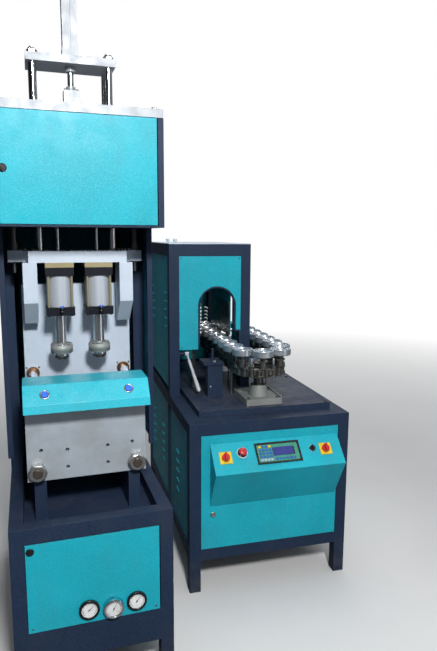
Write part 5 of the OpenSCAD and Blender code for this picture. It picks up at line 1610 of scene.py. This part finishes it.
@dataclass
class Fasteners:
    """Small screws of the doors, the plinth, the column and the upper works.

    Args:
        door_xs, door_y, door_z: the two screws of the base's door.
        plinth: x and y of the plinth's hexagon bolts, in the heater's corner.
        plinth_z: height of the plinth's top.
        slide_xs, slide_ys, slide_z: the screws of the two slide plates on it.
        column: the bolt on top of the box column.
        column_front: the screw in the column's front.
        bridge_xs, bridge_ys, bridge_z: the screws of the cylinder's flange on the bridge.
        top_xs, top_ys, top_z: the bolts of the top plate.
        plug: x and y of the larger bolt beside the bridge.
    """

    door_xs: Pair = (58.0, 441.0)
    door_y: float = -1.5
    door_z: float = 262.0
    plinth: tuple[Pair, ...] = (
        (72.0, 97.0), (626.0, 97.0), (626.0, 1019.0), (72.0, 1019.0), (626.0, 560.0))
    plinth_z: float = 745.0
    slide_xs: Pair = (283.0, 411.0)
    slide_ys: tuple[float, ...] = (122.0, 293.0, 757.0, 883.0)
    slide_z: float = 772.0
    column: Place = (176.0, 291.0, 902.0)
    column_front: Place = (158.0, 287.0, 792.0)
    bridge_xs: Pair = (231.0, 269.0)
    bridge_ys: Pair = (325.0, 363.0)
    bridge_z: float = 1920.0
    top_xs: Pair = (24.0, 476.0)
    top_ys: Place = (110.0, 540.0, 970.0)
    top_z: float = 1833.0
    plug: Pair = (196.0, 330.0)

    def build(self) -> None:
        """Builds each group of screws."""
        add_screws("base_door_screws", (pan_head(3.2, 2.0), [
            facing_front(x, self.door_y, self.door_z) for x in self.door_xs]), body="base_door")
        add_screws("plinth_bolts", (hex_head(13.0, 6.0), [
            Axes(HEATER.place(x, y, self.plinth_z)) for x, y in self.plinth]),
            (socket_head(6.0, 7.0), [
                Axes(HEATER.place(x, y, self.slide_z))
                for y, x in product(self.slide_ys, self.slide_xs)]))
        add_screws("column_screws", (hex_head(14.0, 7.0), [Axes(HEATER.place(*self.column))]),
                   (pan_head(4.5, 3.0), [facing_front(*self.column_front).within(HEATER)]),
                   finish=Finish.BRIGHT_ALUMINIUM)
        add_screws("bridge_screws", (socket_head(4.0, 5.0), [
            Axes((x, y, self.bridge_z)) for x, y in product(self.bridge_xs, self.bridge_ys)]))
        add_screws("top_plate_bolts", (hex_head(15.0, 8.0), [
            Axes((x, y, self.top_z)) for x, y in product(self.top_xs, self.top_ys)]),
            (hex_head(17.0, 9.0), [Axes((*self.plug, self.top_z))]), finish=Finish.TURNED_STEEL)


# ---------------------------------------------------------------------- studio


def standing(place: Place, right: np.ndarray, up: np.ndarray, back: np.ndarray) -> Matrix:
    """Matrix of a camera or lamp from its place in metres and its own three directions."""
    turn = Matrix(np.column_stack([right, up, back]).tolist()).to_4x4()
    return Matrix.Translation(place) @ turn


@dataclass(frozen=True)
class SoftLamp:
    """A rectangular lamp with a level width, aimed at a target.

    Args:
        name: the lamp's name.
        place, target: where it stands and what it is aimed at, in metres.
        width, height: its size in metres.
        power: its power in watts.
    """

    name: str
    place: Place
    target: Place
    width: float
    height: float
    power: float

    def build(self) -> None:
        """Puts the lamp into the scene."""
        data = bpy.data.lights.new(self.name, "AREA")
        data.shape = "RECTANGLE"
        data.size, data.size_y, data.energy = self.width, self.height, self.power
        aim = np.array(self.target) - np.array(self.place)
        aim /= np.linalg.norm(aim)
        side = np.cross(aim, UP)
        side /= np.linalg.norm(side)
        lamp = add_object(self.name, data)
        lamp.matrix_world = standing(self.place, side, np.cross(side, aim), -aim)


@dataclass
class Studio:
    """Floor, light and the camera of the photograph's viewpoint.

    Args:
        camera_place: the camera in metres.
        yaw: turn to the right of straight ahead, in degrees.
        pitch: tilt below the horizon, in degrees.
        roll: roll about the line of sight, in degrees.
        lens: focal length in millimetres.
        sensor: long side of the picture in millimetres.
        floor_half: half the side of the floor in metres.
        fade: distances in metres where the floor starts to fade to white and is white.
        lamps: the soft lamps.
    """

    camera_place: Place = (-0.6219, -2.4382, 1.4578)
    yaw: float = 18.3315
    pitch: float = 8.8843
    roll: float = 0.2973
    lens: float = 31.91
    sensor: float = 36.0
    floor_half: float = 30.0
    fade: Pair = (1.8, 6.5)
    lamps: tuple[SoftLamp, ...] = (
        SoftLamp("key", (-0.35, -3.1, 2.7), (-0.2, 0.0, 0.9), 0.35, 0.35, 96.0),
        SoftLamp("right_strip", (1.9, -2.9, 1.3), (0.0, 0.0, 1.0), 0.4, 2.4, 7.0),
        SoftLamp("left_strip", (-2.4, -2.3, 1.3), (-0.4, 0.0, 1.0), 0.12, 2.4, 0.5),
        SoftLamp("top", (0.3, 0.2, 4.2), (0.0, 0.0, 0.0), 2.4, 2.4, 30.0),
        SoftLamp("back", (1.5, 3.4, 2.8), (0.0, 0.0, 1.0), 2.4, 2.4, 18.0),
    )

    WHITE, SKY = (1.0, 1.0, 1.0), (0.86, 0.92, 1.0)
    PATCHES = Cloud(1.5, 4.0, 0.35, 0.65)
    FLOOR_DARK, FLOOR_PALE = (0.78, 0.77, 0.76), (0.82, 0.81, 0.80)
    FLOOR_BOUNCE = (0.20, 0.21, 0.22)
    # part of the direction, then strength of the light: from and to
    BY_HEIGHT, BY_SIDE = (-0.1, 0.8, 0.10, 0.42), (-0.7, 0.2, 0.05, 1.0)

    def build(self) -> None:
        """Builds the camera, the floor, the world and the lamps."""
        self.build_camera()
        self.build_floor()
        self.build_world()
        for lamp in self.lamps:
            lamp.build()
        bpy.context.scene.view_settings.view_transform = "Standard"

    def build_camera(self) -> None:
        """Places the camera from its yaw, pitch and roll."""
        yaw, pitch, roll = (math.radians(turn) for turn in (self.yaw, self.pitch, self.roll))
        ahead = np.array([math.sin(yaw) * math.cos(pitch), math.cos(yaw) * math.cos(pitch),
                          -math.sin(pitch)])
        right = np.array([math.cos(yaw), -math.sin(yaw), 0.0])
        up = np.cross(right, ahead)
        across = math.cos(roll) * right + math.sin(roll) * up
        over = -math.sin(roll) * right + math.cos(roll) * up
        data = bpy.data.cameras.new("photo_camera")
        data.lens, data.sensor_width = self.lens, self.sensor
        camera = add_object("photo_camera", data)
        camera.matrix_world = standing(self.camera_place, across, over, -ahead)
        bpy.context.scene.camera = camera

    def build_floor(self) -> None:
        """Builds a pale floor that fades into the white background.

        Light that it throws back on the machine is greyer than the camera's view.
        """
        g = Graph("studio_floor")
        seen = g.node("LightPath").outputs["Is Camera Ray"]
        pale = g.blend(g.cloud(self.PATCHES), self.FLOOR_DARK, self.FLOOR_PALE)
        g.set(Base_Color=g.blend(seen, self.FLOOR_BOUNCE, pale), Roughness=0.65,
              Specular_IOR_Level=0.25)
        away = g.span(g.vector("LENGTH", g.place), *self.fade)
        glow = g.node("Emission", self.WHITE)
        mix = g.node("MixShader", g.times(away, seen), g.shader.outputs[0], glow.outputs[0])
        g.feed(g.output.inputs[0], mix.outputs[0])
        mesh = bpy.data.meshes.new("studio_floor")
        corners = box_corners(self.floor_half, self.floor_half)
        mesh.from_pydata([(x, y, 0.0) for x, y in corners.tolist()], [], [(0, 1, 2, 3)])
        mesh.materials.append(g.material)
        floor = add_object("studio_floor", mesh)

    def build_world(self) -> None:
        """Makes the world white to the camera.

        As light it is a soft grey, brightest overhead and to the right.
        """
        world = bpy.data.worlds.new("studio_world")
        bpy.context.scene.world = world
        world.use_nodes = True
        tree = Tree(world.node_tree)
        way = tree.node("SeparateXYZ", tree.node("TexCoord").outputs["Generated"]).outputs
        strength = tree.times(tree.span(way["Z"], *self.BY_HEIGHT),
                              tree.span(way["X"], *self.BY_SIDE))
        soft = tree.node("Background", Color=self.SKY, Strength=strength)
        white = tree.node("Background", Color=self.WHITE)
        seen = tree.node("LightPath").outputs["Is Camera Ray"]
        mix = tree.node("MixShader", seen, soft.outputs[0], white.outputs[0])
        tree.node("OutputWorld", mix.outputs[0])


def main() -> None:
    """Loads the frame, dresses it, adds the small pieces and sets up the studio."""
    logging.basicConfig(level=logging.INFO, format="%(message)s")
    for stray in list(bpy.data.objects):
        bpy.data.objects.remove(stray)
    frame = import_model()
    Studio().build()
    dress_cad_nodes(frame["nodes"])
    for part in (PressureGauges(), StartButtons(), BlowingHead(), ClampScrews(), OvenDetails(),
                 ChainDetails(), ConsoleDetails(), Fasteners()):
        part.build()
        LOG.info("built %s", type(part).__name__)


if __name__ == "__main__":
    main()
